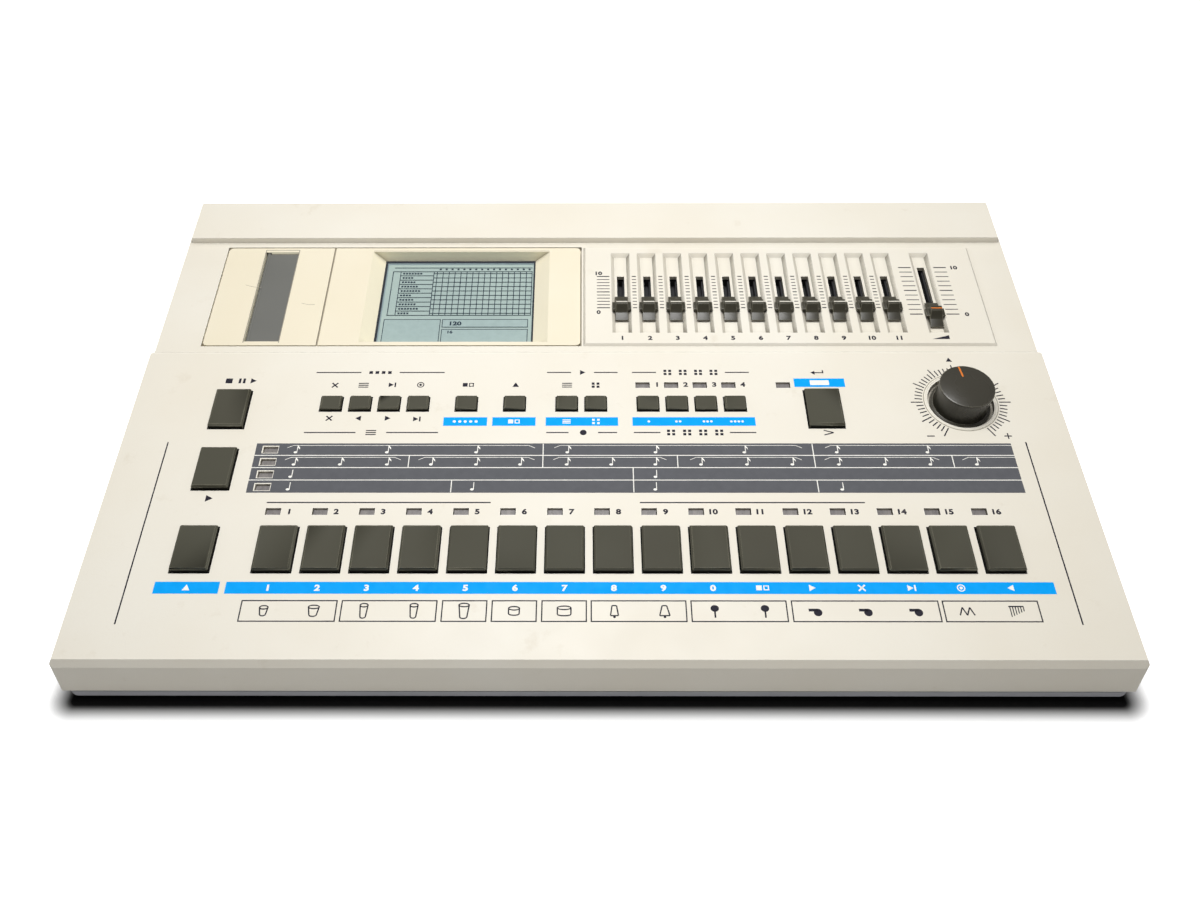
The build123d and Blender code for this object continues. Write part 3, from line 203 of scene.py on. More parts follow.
class Finish(Tree):
    """A node material with a Principled shader, and the few kinds of node that the finishes use."""

    def __init__(self, name):
        self.material = bpy.data.materials.new(name)
        self.material.use_nodes = True
        super().__init__(self.material.node_tree)
        self.shader = self.nodes["Principled BSDF"]
        self.place = self.node("ShaderNodeTexCoord").outputs["Object"]

    def set(self, name, value):
        """Gives the shader's input an output of a node, or a value."""
        self.feed(self.shader.inputs[name], value)

    def noise(self, size, detail, roughness=0.5, stretch=(1, 1, 1)):
        """Noise with features about size metres across."""
        mapped = self.node("ShaderNodeMapping", {"Vector": self.place, "Scale": stretch})
        inputs = {"Scale": 1 / size, "Detail": detail, "Roughness": roughness}
        inputs["Vector"] = mapped.outputs["Vector"]
        return self.node("ShaderNodeTexNoise", inputs).outputs["Fac"]

    def spread(self, value, low, high, start=0.3, end=0.7):
        """value between start and end, spread to low and high."""
        ends = {"From Min": start, "From Max": end, "To Min": low, "To Max": high}
        return self.node("ShaderNodeMapRange", {"Value": value, **ends}).outputs["Result"]

    def mix(self, factor, first, second):
        """A colour between two. The node has them at inputs 6 and 7, and gives it at output 2."""
        inputs = {"Factor": factor, 6: first, 7: second}
        return self.node("ShaderNodeMix", inputs, data_type="RGBA").outputs[2]

    def times(self, first, second):
        inputs = {0: first, 1: second}
        return self.node("ShaderNodeMath", inputs, operation="MULTIPLY").outputs["Value"]

    def dot(self, first, second):
        inputs = {0: first, 1: second}
        return self.node("ShaderNodeVectorMath", inputs, operation="DOT_PRODUCT").outputs["Value"]

    def bump(self, height, depth):
        """A bump of depth metres."""
        bumped = self.node("ShaderNodeBump", {"Height": height, "Distance": depth})
        self.set("Normal", bumped.outputs["Normal"])

    def edges(self, radius):
        """1 on the edges of the solid within radius metres, and 0 elsewhere."""
        rounded = self.node("ShaderNodeBevel", {"Radius": radius}, samples=4).outputs["Normal"]
        plain = self.node("ShaderNodeNewGeometry").outputs["Normal"]
        return self.spread(self.dot(rounded, plain), 1, 0, 0.85, 0.99)

    def facing(self, direction=PANEL_OUT):
        """1 where the surface faces a direction, and less where it is turned away from it."""
        normal = self.node("ShaderNodeNewGeometry").outputs["True Normal"]
        return self.dot(normal, direction)

    def hollows(self, reach, shut=0.3, clear=0.95):
        """Towards 1 in the corners and grooves of the solid, and 0 in the open: a mask for painted
        shade.
        """
        inputs = {"Distance": reach}
        shut_in = self.node("ShaderNodeAmbientOcclusion", inputs, samples=8, only_local=True)
        return self.spread(shut_in.outputs["AO"], 1, 0, shut, clear)


PATCH = 0.06  # metres across a patch of uneven colour


def moulded(name, colours, roughness, grain=0.0006, depth=0.00002, gloss=0.5, **extra):
    """Moulded plastic with a fine grain, turned in patches from its first colour to its second.

    extra may hold a painted light for slopes, a painted shade for sides, one for hollows, a colour
    for stains, one for edges that is partly wear and partly a painted highlight, and two painted
    shades for the left-facing and right-facing walls of hollows.
    """
    finish = Finish(name)
    colour, shade = colours
    tone = finish.mix(finish.spread(finish.noise(PATCH, 4), 0, 1), colour, shade)
    tone = finish.mix(finish.spread(finish.noise(grain * 2, 1), 0, 0.12), tone, shade)
    # Painted light: surfaces that slope away from the panel's face are turned to a lighter colour.
    if "slope" in extra:
        tone = finish.mix(finish.spread(finish.facing(), 1, 0, 0.55, 0.95), tone, extra["slope"])
    # Painted shade: walls of hollows that face left take the first colour and those that face right
    # the second, both darker than the plastic.
    if "sunken" in extra:
        low = finish.hollows(0.006, 0.84, 0.98)
        for side, shaded in zip((-1, 1), extra["sunken"]):
            turned = finish.spread(finish.facing(Vector((side, 0, 0))), 0, 1, 0.4, 0.65)
            tone = finish.mix(finish.times(turned, low), tone, shaded)
    # Painted shade: the sides, turned away from the panel's outward direction, are darkened.
    if "side" in extra:
        tone = finish.mix(finish.spread(finish.facing(), 1, 0, 0.15, 0.5), tone, extra["side"])
    # Painted shade: the corners and grooves of the solid are darkened.
    if "hollow" in extra:
        tone = finish.mix(finish.hollows(0.003), tone, extra["hollow"])
    if "stain" in extra:
        stained = finish.spread(finish.noise(0.014, 6, 0.65), 0, 0.5, 0.63, 0.8)
        tone = finish.mix(stained, tone, extra["stain"])
    # Edges turned lighter in uneven patches: partly wear, partly a painted highlight.
    if "worn" in extra:
        edges = finish.edges(0.0006)
        uneven = finish.spread(finish.noise(0.004, 3), 0.4, 1.0)
        tone = finish.mix(finish.times(edges, uneven), tone, extra["worn"])
    finish.set("Base Color", tone)
    sheen = finish.spread(finish.noise(PATCH / 3, 3), roughness - 0.05, roughness + 0.05)
    finish.set("Roughness", sheen)
    finish.bump(finish.noise(grain, 2), depth)
    finish.set("Specular IOR Level", gloss)
    return finish.material


def ink(name, colour):
    """Screen-printed ink, a little uneven."""
    finish = Finish(name)
    pale = tuple(min(1.0, part * 1.08 + 0.002) for part in colour[:3]) + (1.0,)
    finish.set("Base Color", finish.mix(finish.spread(finish.noise(0.003, 3), 0, 1), colour, pale))
    finish.set("Roughness", finish.spread(finish.noise(0.004, 2), 0.5, 0.65))
    finish.bump(finish.noise(0.0008, 2), 0.000005)
    finish.set("Specular IOR Level", 0.08)
    return finish.material


def smoked_lens():
    """Grey lens of a lamp that isn't lit."""
    finish = Finish("smoked_lens")
    tone = finish.spread(finish.noise(0.0012, 2, stretch=(1, 0.2, 1)), 0, 1)
    finish.set("Base Color", finish.mix(tone, srgb(112, 108, 108), srgb(136, 131, 128)))
    finish.set("Roughness", finish.spread(finish.noise(0.001, 1), 0.25, 0.4))
    finish.bump(finish.noise(0.0005, 1), 0.00001)
    return finish.material


def liquid_crystal():
    """Grey-green display that isn't powered, under a polished face."""
    finish = Finish("liquid_crystal")
    cloud = finish.spread(finish.noise(0.03, 3), 0, 1)
    finish.set("Base Color", finish.mix(cloud, srgb(164, 182, 178), srgb(172, 190, 184)))
    finish.set("Roughness", finish.spread(finish.noise(0.01, 2), 0.12, 0.2))
    finish.set("Coat Weight", 0.4)
    finish.set("Coat Roughness", 0.05)
    finish.bump(finish.noise(0.0006, 1), 0.000005)
    return finish.material


def plated_steel(name, colour, shade):
    """Brushed plating between two tones."""
    finish = Finish(name)
    brushed = finish.noise(0.0004, 2, stretch=(1, 12, 1))
    finish.set("Base Color", finish.mix(finish.spread(brushed, 0, 1), colour, shade))
    finish.set("Metallic", 1.0)
    finish.set("Roughness", finish.spread(brushed, 0.25, 0.45))
    finish.bump(brushed, 0.00001)
    return finish.material


# Pairs are a plastic's two colours
IVORY = (srgb(237, 232, 219), srgb(233, 226, 210))
# light edges of the case: partly wear, partly a painted highlight
IVORY_WORN = srgb(255, 252, 242)
# painted shade in the corners and grooves of the case
IVORY_HOLLOW = srgb(140, 132, 116)
# painted shade for the left-facing and right-facing walls of hollows
IVORY_SUNKEN = (srgb(122, 118, 107), srgb(212, 206, 191))
IVORY_STAIN = srgb(214, 203, 182)
CREAM = (srgb(240, 231, 208), srgb(236, 226, 200))
# painted light on the escutcheon's sloping bezels
CREAM_SLOPE = srgb(255, 248, 220)
# painted shade in the corners and grooves of the escutcheon
CREAM_HOLLOW = srgb(140, 131, 112)
GREY_LIP = (srgb(178, 179, 184), srgb(170, 171, 176))
GREY_FLAP = (srgb(112, 112, 107), srgb(104, 104, 99))
KEY = (srgb(83, 82, 71), srgb(79, 77, 67))
# light edges of the keys: partly wear, partly a painted highlight
KEY_WORN = srgb(132, 129, 112)
# painted shade on the sides of the keys
KEY_SIDE = srgb(20, 20, 16)
CAP = (srgb(60, 57, 45), srgb(52, 49, 38))
# light edges of the faders and knob: partly wear, partly a painted highlight
BLACK_WORN = srgb(146, 142, 126)
KNOB = (srgb(62, 59, 50), srgb(55, 52, 44))
# painted shade on the knob's side
KNOB_SIDE = srgb(40, 39, 32)
LAMINATE = (srgb(36, 96, 62), srgb(30, 82, 54))
COMPONENT = (srgb(44, 44, 46), srgb(36, 36, 38))
JACK = (srgb(30, 30, 30), srgb(24, 24, 24))
# painted shade: black laid where gaps, slots and holes would be dark
HOLE = (srgb(10, 10, 10), srgb(7, 7, 7))
RUBBER = (srgb(34, 34, 34), srgb(28, 28, 28))
ZINC = (srgb(150, 150, 152), srgb(185, 185, 186))
NICKEL = (srgb(176, 174, 168), srgb(202, 200, 194))
INKS = {
    "dark_ink": (44, 42, 52),
    "pale_ink": (246, 244, 236),
    "blue_ink": (0, 162, 246),
    "strip_ink": (93, 94, 98),
    "display_ink": (44, 55, 68),
    "display_shade": (156, 174, 172),
    # painted shadow along the display's edge
    "mask_ink": (50, 54, 60),
    # paler painted shadow on the display, and the colour of the battery cover's arrow
    "mask_shade": (128, 144, 150),
    # faint lines and scratches, and the painted shadow round the dial
    "faint_ink": (158, 152, 138),
    "orange_paint": (218, 122, 52),
    "white_paint": (212, 208, 196),
}


def make_finishes():
    """Every material of the object by the name that the rest of the script uses."""
    ivory_extra = {"worn": IVORY_WORN, "hollow": IVORY_HOLLOW, "stain": IVORY_STAIN}
    cream_extra = {"slope": CREAM_SLOPE, "hollow": CREAM_HOLLOW}
    key_extra = {"worn": KEY_WORN, "side": KEY_SIDE}
    knob_extra = {"worn": BLACK_WORN, "side": KNOB_SIDE}
    finishes = {
        "case": moulded("ivory_abs", IVORY, 0.5, sunken=IVORY_SUNKEN, **ivory_extra),
        "lower": moulded("grey_abs", GREY_LIP, 0.5),
        "escutcheon": moulded("cream_abs", CREAM, 0.42, 0.0009, 0.00001, **cream_extra),
        "key": moulded("olive_key", KEY, 0.6, 0.0003, 0.000008, gloss=0.07, **key_extra),
        "fader": moulded("black_cap", CAP, 0.38, 0.0004, worn=BLACK_WORN),
        "knob": moulded("black_knob", KNOB, 0.3, 0.0005, 0.00001, **knob_extra),
        "flap": moulded("grey_flap", GREY_FLAP, 0.55),
        "lens": smoked_lens(),
        "display": liquid_crystal(),
        "board": moulded("green_laminate", LAMINATE, 0.35),
        "component": moulded("dark_component", COMPONENT, 0.5),
        "jack": moulded("black_jack", JACK, 0.35),
        "screw": plated_steel("zinc_plate", *ZINC),
        "nickel": plated_steel("nickel_plate", *NICKEL),
        "hole": moulded("dark_hole", HOLE, 0.7, gloss=0.1),
        "rubber": moulded("black_rubber", RUBBER, 0.8, depth=0.00005),
    }
    for name, colour in INKS.items():
        finishes[name] = ink(name, srgb(*colour))
    return finishes


NODE_FINISH = {
    "upper_case": "case",
    "lower_case": "lower",
    "battery_cover": "lower",
    "display_escutcheon": "escutcheon",
    "cartridge_flap": "flap",
    "lcd_module": "display",
    "led_lenses": "lens",
    "circuit_boards": "board",
    "key_switches": "component",
    "panel_pots": "component",
    "line_jacks": "jack",
    "rear_sockets": "jack",
    "rubber_feet": "rubber",
    "case_screws": "screw",
    "tempo_knob": "knob",
    "power_button": "fader",
    "volume_fader": "fader",
}


def dress_nodes(nodes, finishes):
    """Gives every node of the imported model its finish."""
    for name, node in nodes.items():
        kind = NODE_FINISH.get(name) or ("fader" if name.startswith("fader") else "key")
        node.data.materials.clear()
        node.data.materials.append(finishes[kind])
        node.data.shade_smooth()
        node.data.set_sharp_from_angle(angle=radians(30))


def soften(node, cuts):
    """Rounds the edges of a node."""
    weld = node.modifiers.new("weld", "WELD")
    weld.merge_threshold = 1e-6
    for width, angle in cuts:
        bevel = node.modifiers.new("bevel", "BEVEL")
        bevel.width = width * MM
        bevel.segments = 3
        bevel.limit_method = "ANGLE"
        bevel.angle_limit = radians(angle)


def soften_nodes(nodes):
    """Rounds the edges of the controls and the feet."""
    for name, node in nodes.items():
        if is_key(name):
            soften(node, KEY_CUTS)
        elif "fader" in name:
            soften(node, FADER_CUTS)
        elif name in ("rubber_feet", "power_button"):
            soften(node, SMALL_CUTS)


def add_piece(name, mesh, material, body, matrix):
    """Turns mesh code in millimetres into a piece on some axes, that rides on a body."""
    bmesh.ops.recalc_face_normals(mesh, faces=mesh.faces)
    data = bpy.data.meshes.new(name)
    mesh.to_mesh(data)
    mesh.free()
    data.transform(matrix @ Matrix.Diagonal((MM, MM, MM, 1)))
    data.materials.append(material)
    piece = bpy.data.objects.new(name, data)
    bpy.context.scene.collection.objects.link(piece)
    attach(piece, body)
    return piece


# Printed marks


class Print:
    """Marks of one ink on one plane of the panel, as thin closed plates in one mesh."""

    def __init__(self, name, material, w=0.0, body="case"):
        self.name = name
        self.material = material
        self.w = w
        self.body = body
        self.mesh = bmesh.new()

    def rims(self, points):
        """An outline under the ink and on top of it."""
        verts = self.mesh.verts
        return [[verts.new((u, v, height)) for u, v in points] for height in (0, INK)]

    def plate(self, points):
        """A filled outline."""
        low, high = self.rims(points)
        self.mesh.faces.new(high)
        self.mesh.faces.new(low[::-1])
        for i in range(len(points)):
            j = (i + 1) % len(points)
            self.mesh.faces.new((low[i], low[j], high[j], high[i]))

    def band(self, outer, inner):
        """What lies between two outlines with as many points."""
        outer_low, outer_high = self.rims(outer)
        inner_low, inner_high = self.rims(inner)
        walls = (
            (outer_high, inner_high),
            (inner_low, outer_low),
            (outer_low, outer_high),
            (inner_high, inner_low),
        )
        for i in range(len(outer)):
            j = (i + 1) % len(outer)
            for one, other in walls:
                self.mesh.faces.new((one[i], one[j], other[j], other[i]))

    def bar(self, left, front, right, rear):
        self.plate(corners(left, front, right, rear))

    def across(self, left, v, right, width=RULE):
        """A line from left to right."""
        self.bar(left, v - width / 2, right, v + width / 2)

    def along(self, u, front, rear, width=RULE):
        """A line from front to rear."""
        self.bar(u - width / 2, front, u + width / 2, rear)

    def square(self, u, v, half):
        self.bar(u - half, v - half, u + half, v + half)

    def frame(self, left, front, right, rear, width=HAIRLINE):
        """The outline of a box."""
        inner = corners(left + width, front + width, right - width, rear - width)
        self.band(corners(left, front, right, rear), inner)

    def line(self, start, end, width):
        """A straight line between two points."""
        run = (Vector(end) - Vector(start)).normalized() * width / 2
        side = Vector((-run.y, run.x))
        sides = (Vector(start) - side, Vector(end) - side, Vector(end) + side, Vector(start) + side)
        self.plate([tuple(corner) for corner in sides])

    def run(self, points, width, closed=False):
        """Straight lines from point to point."""
        for start, end in zip(points, points[1:] + (points[:1] if closed else [])):
            self.line(start, end, width)

    def disc(self, u, v, radius, steps=20, squash=1.0):
        self.plate(oval(u, v, radius, radius * squash, steps))

    def ring(self, u, v, radius, width, steps=24):
        within = radius - width
        self.band(oval(u, v, radius, radius, steps), oval(u, v, within, within, steps))

    def triangle(self, u, v, size, turn=0.0):
        """A triangle that points to +u, turned by an angle in degrees."""
        turns = [radians(turn + 120 * i) for i in range(3)]
        self.plate([(u + size * cos(a), v + size * sin(a)) for a in turns])

    def text(self, number, u, v, height=CAP_HEIGHT):
        """A plain number, with its middle at a place."""
        curve = bpy.data.curves.new("number", "FONT")
        curve.body = str(number)
        curve.size = height / FONT_CAP
        curve.align_x = "CENTER"
        curve.resolution_u = 3
        curve.extrude = INK / 2
        curve.offset = height * BOLD
        holder = bpy.data.objects.new("number", curve)
        made = bpy.data.meshes.new_from_object(holder)
        widened = Matrix.Diagonal((WIDEN, 1, 1, 1))
        made.transform(Matrix.Translation((u, v - height / 2, INK / 2)) @ widened)
        self.mesh.from_mesh(made)
        bpy.data.meshes.remove(made)
        bpy.data.objects.remove(holder)
        bpy.data.curves.remove(curve)

    def make(self, matrix=None):
        """Lays the marks on the panel, or on other axes."""
        bmesh.ops.remove_doubles(self.mesh, verts=self.mesh.verts, dist=1e-5)
        matrix = matrix or panel_matrix(w=self.w)
        add_piece(self.name, self.mesh, self.material, self.body, matrix)


# Turned pieces, as (radius, height) points on axes of their own

KNOB_PROFILE = (
    (0, -2.2), (12.0, -2.2), (12.2, -2.0), (12.2, -1.2), (12.0, -1.0), (11.1, -0.85), (10.85, 0.2),
    (10.6, 2.6), (10.55, 5.0), (10.7, 7.2), (10.95, 9.1), (11.0, 9.5), (10.85, 9.85), (10.5, 10.0),
    (0, 10.0),
)
DIAL_RING = ((14.1, -0.05), (14.15, 0.16), (14.35, 0.22), (14.6, 0.16), (14.65, -0.05))
JACK_RING = ((3.25, -0.02), (3.25, 0.25), (3.5, 0.4), (4.5, 0.4), (4.7, 0.2), (4.7, -0.02))
MINI_RING = ((1.85, -0.02), (1.85, 0.3), (2.1, 0.45), (2.9, 0.45), (3.1, 0.25), (3.1, -0.02))
SCREW_PROFILE = (
    (0, -12.0), (1.2, -11.6), (1.5, -11.0), (1.5, -1.2), (2.7, -1.2), (2.75, -0.6), (2.3, -0.15),
    (1.2, 0), (0, 0),
)
SCREW_CROSS = 1.5  # half the length of its slots
SCREW_SLOT = 0.28  # half their width
DIAL_STEPS = 96  # faces round the dial's pieces
JACK_STEPS = 40
SMALL_STEPS = 32


def lathe(name, profile, material, body, matrix, steps):
    """A smooth turned piece."""
    mesh = bmesh.new()
    rings = []
    for radius, height in profile:
        places = oval(0, 0, radius, radius, steps if radius else 1)
        rings.append([mesh.verts.new((x, y, height)) for x, y in places])
    for low, high in zip(rings, rings[1:]):
        for i in range(steps):
            turns = ((low, i), (low, i + 1), (high, i + 1), (high, i))
            face = [ring[turn % len(ring)] for ring, turn in turns]
            mesh.faces.new(dict.fromkeys(face))
    piece = add_piece(name, mesh, material, body, matrix)
    piece.data.shade_smooth()
    piece.data.set_sharp_from_angle(angle=radians(35))
    return piece


def make_knob(finishes):
    """Waisted knob with a rounded rim."""
    place, black = panel_matrix(*DIAL), finishes["knob"]
    knob = lathe("tempo_knob_cap", KNOB_PROFILE, black, "tempo_knob", place, DIAL_STEPS)
    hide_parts("tempo_knob")


def dial_ring(finishes):
    """Fine raised ring round the well of the dial."""
    lathe("dial_ring", DIAL_RING, finishes["case"], "case", panel_matrix(*DIAL), DIAL_STEPS)


def jack_rings(finishes):
    """Nickelled ring round the mouth of each jack and small socket."""
    nickel = finishes["nickel"]
    for i in range(JACK_COUNT):
        place = rear_matrix(JACK_X + i * JACK_PITCH, JACK_FACE, JACK_Z)
        lathe(f"jack_ring_{i + 1:02d}", JACK_RING, nickel, "case", place, JACK_STEPS)
    for i, x in enumerate(MINI_X):
        place = rear_matrix(x, SOCKET_Y, JACK_Z)
        lathe(f"mini_ring_{i + 1}", MINI_RING, nickel, "case", place, SMALL_STEPS)


def contact_holes(finishes):
    """Five contact holes in the core of each round socket, painted as dark discs of shade."""
    marks = Print("contact_holes", finishes["hole"])
    for x in DIN_X:
        for i in range(5):
            angle = pi + i * pi / 4
            across, up = DIN_HOLE_CIRCLE * cos(angle), DIN_HOLE_CIRCLE * sin(angle)
            marks.disc(-x + across, DIN_Z + up, DIN_HOLE, 16)
    marks.make(rear_matrix(0, DIN_CORE_Y, 0))


def jack_numbers(finishes):
    """A number above each jack."""
    marks = Print("jack_numbers", finishes["dark_ink"])
    for i in range(JACK_COUNT):
        marks.text(i + 1, -(JACK_X + i * JACK_PITCH), JACK_NUMBER_Z, 2.6)
    marks.make(rear_matrix(0, SOCKET_Y, 0))


def screws(finishes):
    """Round-headed screws with a cross in the head, painted as dark bars of shade."""
    zinc = finishes["screw"]
    for i, (x, y) in enumerate(SCREWS):
        place = underside_matrix(x, y, SCREW_HEAD_Z)
        head = lathe(f"case_screw_{i + 1}", SCREW_PROFILE, zinc, "case", place, SMALL_STEPS)
        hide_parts("case_screws")
        marks = Print(f"screw_cross_{i + 1}", finishes["hole"])
        marks.bar(-SCREW_CROSS, -SCREW_SLOT, SCREW_CROSS, SCREW_SLOT)
        marks.bar(-SCREW_SLOT, SCREW_SLOT, SCREW_SLOT, SCREW_CROSS)
        marks.bar(-SCREW_SLOT, -SCREW_CROSS, SCREW_SLOT, -SCREW_SLOT)
        marks.make(place)


def cover_arrow(finishes):
    """Arrow on the battery cover that shows which way it slides."""
    marks = Print("cover_arrow", finishes["mask_shade"], body="battery_cover")
    marks.across(-6.0, 0, 1.0, 2.0)
    marks.triangle(2.4, 0, 3.2)
    marks.make(underside_matrix(BAY[0] + 8.0, BAY[1], COVER_Z))


# Symbols that stand where a word would


def cross(marks, u, v, size=1.2):
    marks.line((u - size, v - size), (u + size, v + size), 0.6)
    marks.line((u - size, v + size), (u + size, v - size), 0.6)


def ladder(marks, u, v, size=1.2):
    for i in (-1, 0, 1):
        marks.across(u - size * 1.7, v + i * 0.85 * size, u + size * 1.7, THIN)


def back(marks, u, v):
    marks.triangle(u + 0.3, v, 1.5, 180)


def forward(marks, u, v):
    marks.triangle(u - 0.3, v, 1.5)


def to_end(marks, u, v, size=1.4):
    marks.triangle(u - 0.7, v, size)
    marks.bar(u + 1.0, v - size * 0.87, u + 1.6, v + size * 0.87)


def target(marks, u, v):
    marks.ring(u, v, 1.5, 0.42)
    marks.disc(u, v, 0.6, 12)


def pair(marks, u, v):
    marks.bar(u - 2.3, v - 1.0, u - 0.3, v + 1.0)
    marks.frame(u + 0.3, v - 1.0, u + 2.3, v + 1.0, 0.4)


def wedge(marks, u, v, size=1.6):
    marks.triangle(u, v - 0.3, size, 90)


def tiles(marks, u, v, size=0.6):
    for i in (-1, 1):
        for j in (-1, 1):
            marks.square(u + i, v + j * 0.85, size)


def squares(marks, u, v, count=4, pitch=2.6):
    for i in range(count):
        marks.square(u + (i - (count - 1) / 2) * pitch, v, 0.75)


def record_dot(marks, u, v):
    marks.disc(u, v, 1.35)


def accent(marks, u, v, size=1.9):
    for side in (1.2, -1.2):
        marks.line((u - size, v + side), (u + size, v), 0.5)


def returning(marks, u, v, size=2.0):
    marks.across(u - size, v, u + size + 0.25, 0.5)
    marks.along(u + size, v + 0.2, v + 1.4, 0.5)
    marks.triangle(u - size, v, 1.2, 180)


# Pictures of small percussion, one for each of the sixteen keys


def drum(marks, u, v, width, height, taper=0.7):
    """A drum's head, its sides and its curved foot."""
    half, head, line = width / 2, height / 2, THIN / 2
    outer = oval(u, v + head, half + line, 0.7 + line, 20)
    marks.band(outer, oval(u, v + head, half - line, 0.7 - line, 20))
    turns = [pi + pi * i / 6 for i in range(7)]
    foot = [(u + half * taper * cos(a), v - head + 0.6 * sin(a)) for a in turns]
    marks.run([(u - half, v + head)] + foot + [(u + half, v + head)], THIN)


def bell(marks, u, v, width):
    half = width / 2
    sides = [(u - 0.8, v + 2.2), (u + 0.8, v + 2.2), (u + half, v - 1.8), (u - half, v - 1.8)]
    marks.run(sides, THIN, closed=True)
    marks.disc(u, v - 2.3, 0.5, 12)


def shaker(marks, u, v):
    marks.disc(u, v + 1.1, 1.5, 18, 0.9)
    marks.bar(u - 0.3, v - 2.6, u + 0.3, v)


def whistle(marks, u, v):
    marks.disc(u + 0.8, v - 0.5, 1.5, 18)
    marks.bar(u - 2.4, v - 0.1, u + 0.9, v + 1.0)


def rattle(marks, u, v):
    places = ((-2.6, -1.6), (-1.3, 1.6), (0, -1.6), (1.3, 1.6), (2.6, -1.6))
    marks.run([(u + x, v + y) for x, y in places], THIN)


def chimes(marks, u, v):
    marks.bar(u - 2.7, v + 1.7, u + 2.7, v + 2.2)
    for i in range(6):
        marks.bar(u - 2.4 + i * 0.95, v - 2.2 + i * 0.45, u - 2.05 + i * 0.95, v + 1.7)


PICTURES = (
    (drum, 3.0, 2.8), (drum, 3.8, 3.2),
    (drum, 2.8, 4.6), (drum, 2.8, 4.6), (drum, 3.6, 4.8),
    (drum, 3.8, 2.2, 1.0), (drum, 4.8, 2.6, 1.0),
    (bell, 2.8), (bell, 3.6),
    (shaker,), (shaker,),
    (whistle,), (whistle,), (whistle,),
    (rattle,), (chimes,),
)


# Legends


def headings(dark):
    """Thin lines over and under the groups of buttons, with a symbol in the gap of each."""
    upper, lower = 131.4, 99.45
    rows = (
        (upper, -116.4, -97.7, -81.7, -62.9, squares),
        (upper, -20.2, -10.2, -0.6, 9.2, forward),
        (upper, 15.2, 25.2, 53.9, 63.9, None),
        (lower, -116.7, -96.1, -83.8, -63.1, ladder),
        (lower, -19.9, -11.0, 0.8, 8.4, record_dot),
        (lower, 15.1, 25.7, 53.4, 63.9, None),
    )
    for v, start, gap_start, gap_end, end, symbol in rows:
        dark.across(start, v, gap_start)
        dark.across(gap_end, v, end)
        middle = (gap_start + gap_end) / 2
        if symbol:
            symbol(dark, middle, v)
        else:
            for i in (-1.5, -0.5, 0.5, 1.5):
                tiles(dark, middle + i * 6.4, v)


def button_symbols(dark):
    """Symbols above and below the small buttons, and at the large keys."""
    symbols = (
        (-107.7, 124.4, cross),
        (-95.9, 124.4, ladder),
        (-84.1, 124.6, to_end),
        (-72.3, 124.6, target),
        (-52.6, 124.6, pair),
        (-33.0, 124.6, wedge),
        (-11.8, 124.4, ladder),
        (0.0, 124.4, tiles),
        (-107.7, 106.8, cross),
        (-95.9, 106.8, back),
        (-84.1, 106.8, forward),
        (-72.3, 106.4, to_end),
    )
    for u, v, symbol in symbols:
        symbol(dark, u, v)
    for left, right in ((-153.4, -150.6), (-148.0, -147.0), (-146.2, -145.2)):
        dark.bar(left, 125.5, right, 128.1)
    dark.triangle(-142.2, 126.8, 1.6)
    dark.triangle(-148.4, 67.4, 1.8)
    returning(dark, 92.6, 131.2)
    accent(dark, 92.8, 99.4)


def step_numbers(dark):
    """Plain numbers beside the sixteen lamps, and the lines over the two groups of lamps."""
    for i in range(STEP_COUNT):
        dark.text(i + 1, step_u(i) + 2.3, 61.4, 2.3)
    for left, right in ((-125.5, -40.3), (16.4, 101.8)):
        dark.across(left, 65.5, right)


def group_numbers(dark, pale):
    """Numbers beside the four rear lamps, and as many dots under the buttons in front of them."""
    for i in range(4):
        dark.text(i + 1, 25.4 + i * BUTTON_PITCH, 124.8, 2.3)
        for k in range(i + 1):
            pale.disc(21.3 + i * BUTTON_PITCH + (k - i / 2) * 1.5, 105.1, 0.52, 12)


def blue_fields(blue, pale):
    """Blue labels under the buttons and the long blue stripe under the keys."""
    low, high = 102.9, 107.3
    for left, right in ((-61.4, -43.8), (-41.7, -24.3), (-20.2, 8.9), (14.7, 64.1)):
        blue.bar(left, low, right, high)
    blue.bar(82.0, 123.4, 102.9, 128.0)
    for left, right in ((-159.7, -136.2), (-133.9, 164.0)):
        blue.bar(left, 25.8, right, 30.7)
    middle = (low + high) / 2
    for i in range(5):
        pale.disc(-52.6 + (i - 2) * 2.2, middle, 0.62, 12)
    pair(pale, -33.0, middle)
    ladder(pale, -11.8, middle, 0.95)
    tiles(pale, 0.0, middle, 0.5)
    pale.bar(88.6, 124.4, 96.4, 127.0)
    wedge(pale, -148.0, 28.25)
    for i in range(10):
        pale.text((i + 1) % 10, step_u(i), STEP_SYMBOL_V)
    for i, symbol in enumerate((pair, forward, cross, to_end, target, back)):
        symbol(pale, step_u(10 + i), STEP_SYMBOL_V)


BOXES = (
    (-127.0, -92.6),
    (-91.2, -57.0),
    (-55.4, -39.2),
    (-37.7, -21.5),
    (-20.0, -3.8),
    (-2.5, 31.6),
    (33.0, 67.2),
    (68.7, 121.1),
    (122.3, 156.4),
)


def voice_boxes(dark):
    """Thin boxes in front of the keys, with a picture of percussion for every key behind them."""
    low, high, margin = 14.5, 23.2, 4
    for left, right in BOXES:
        dark.frame(left, low, right, high)
    for key, (picture, *sizes) in enumerate(PICTURES):
        u = step_u(key)
        left, right = next(box for box in BOXES if box[0] < u < box[1])
        picture(dark, min(max(u, left + margin), right - margin), (low + high) / 2, *sizes)


def side_lines(dark):
    """Long thin lines at both sides of the front part of the panel."""
    for u in (-169.9, 169.9):
        dark.along(u, 13.5, 94.6)


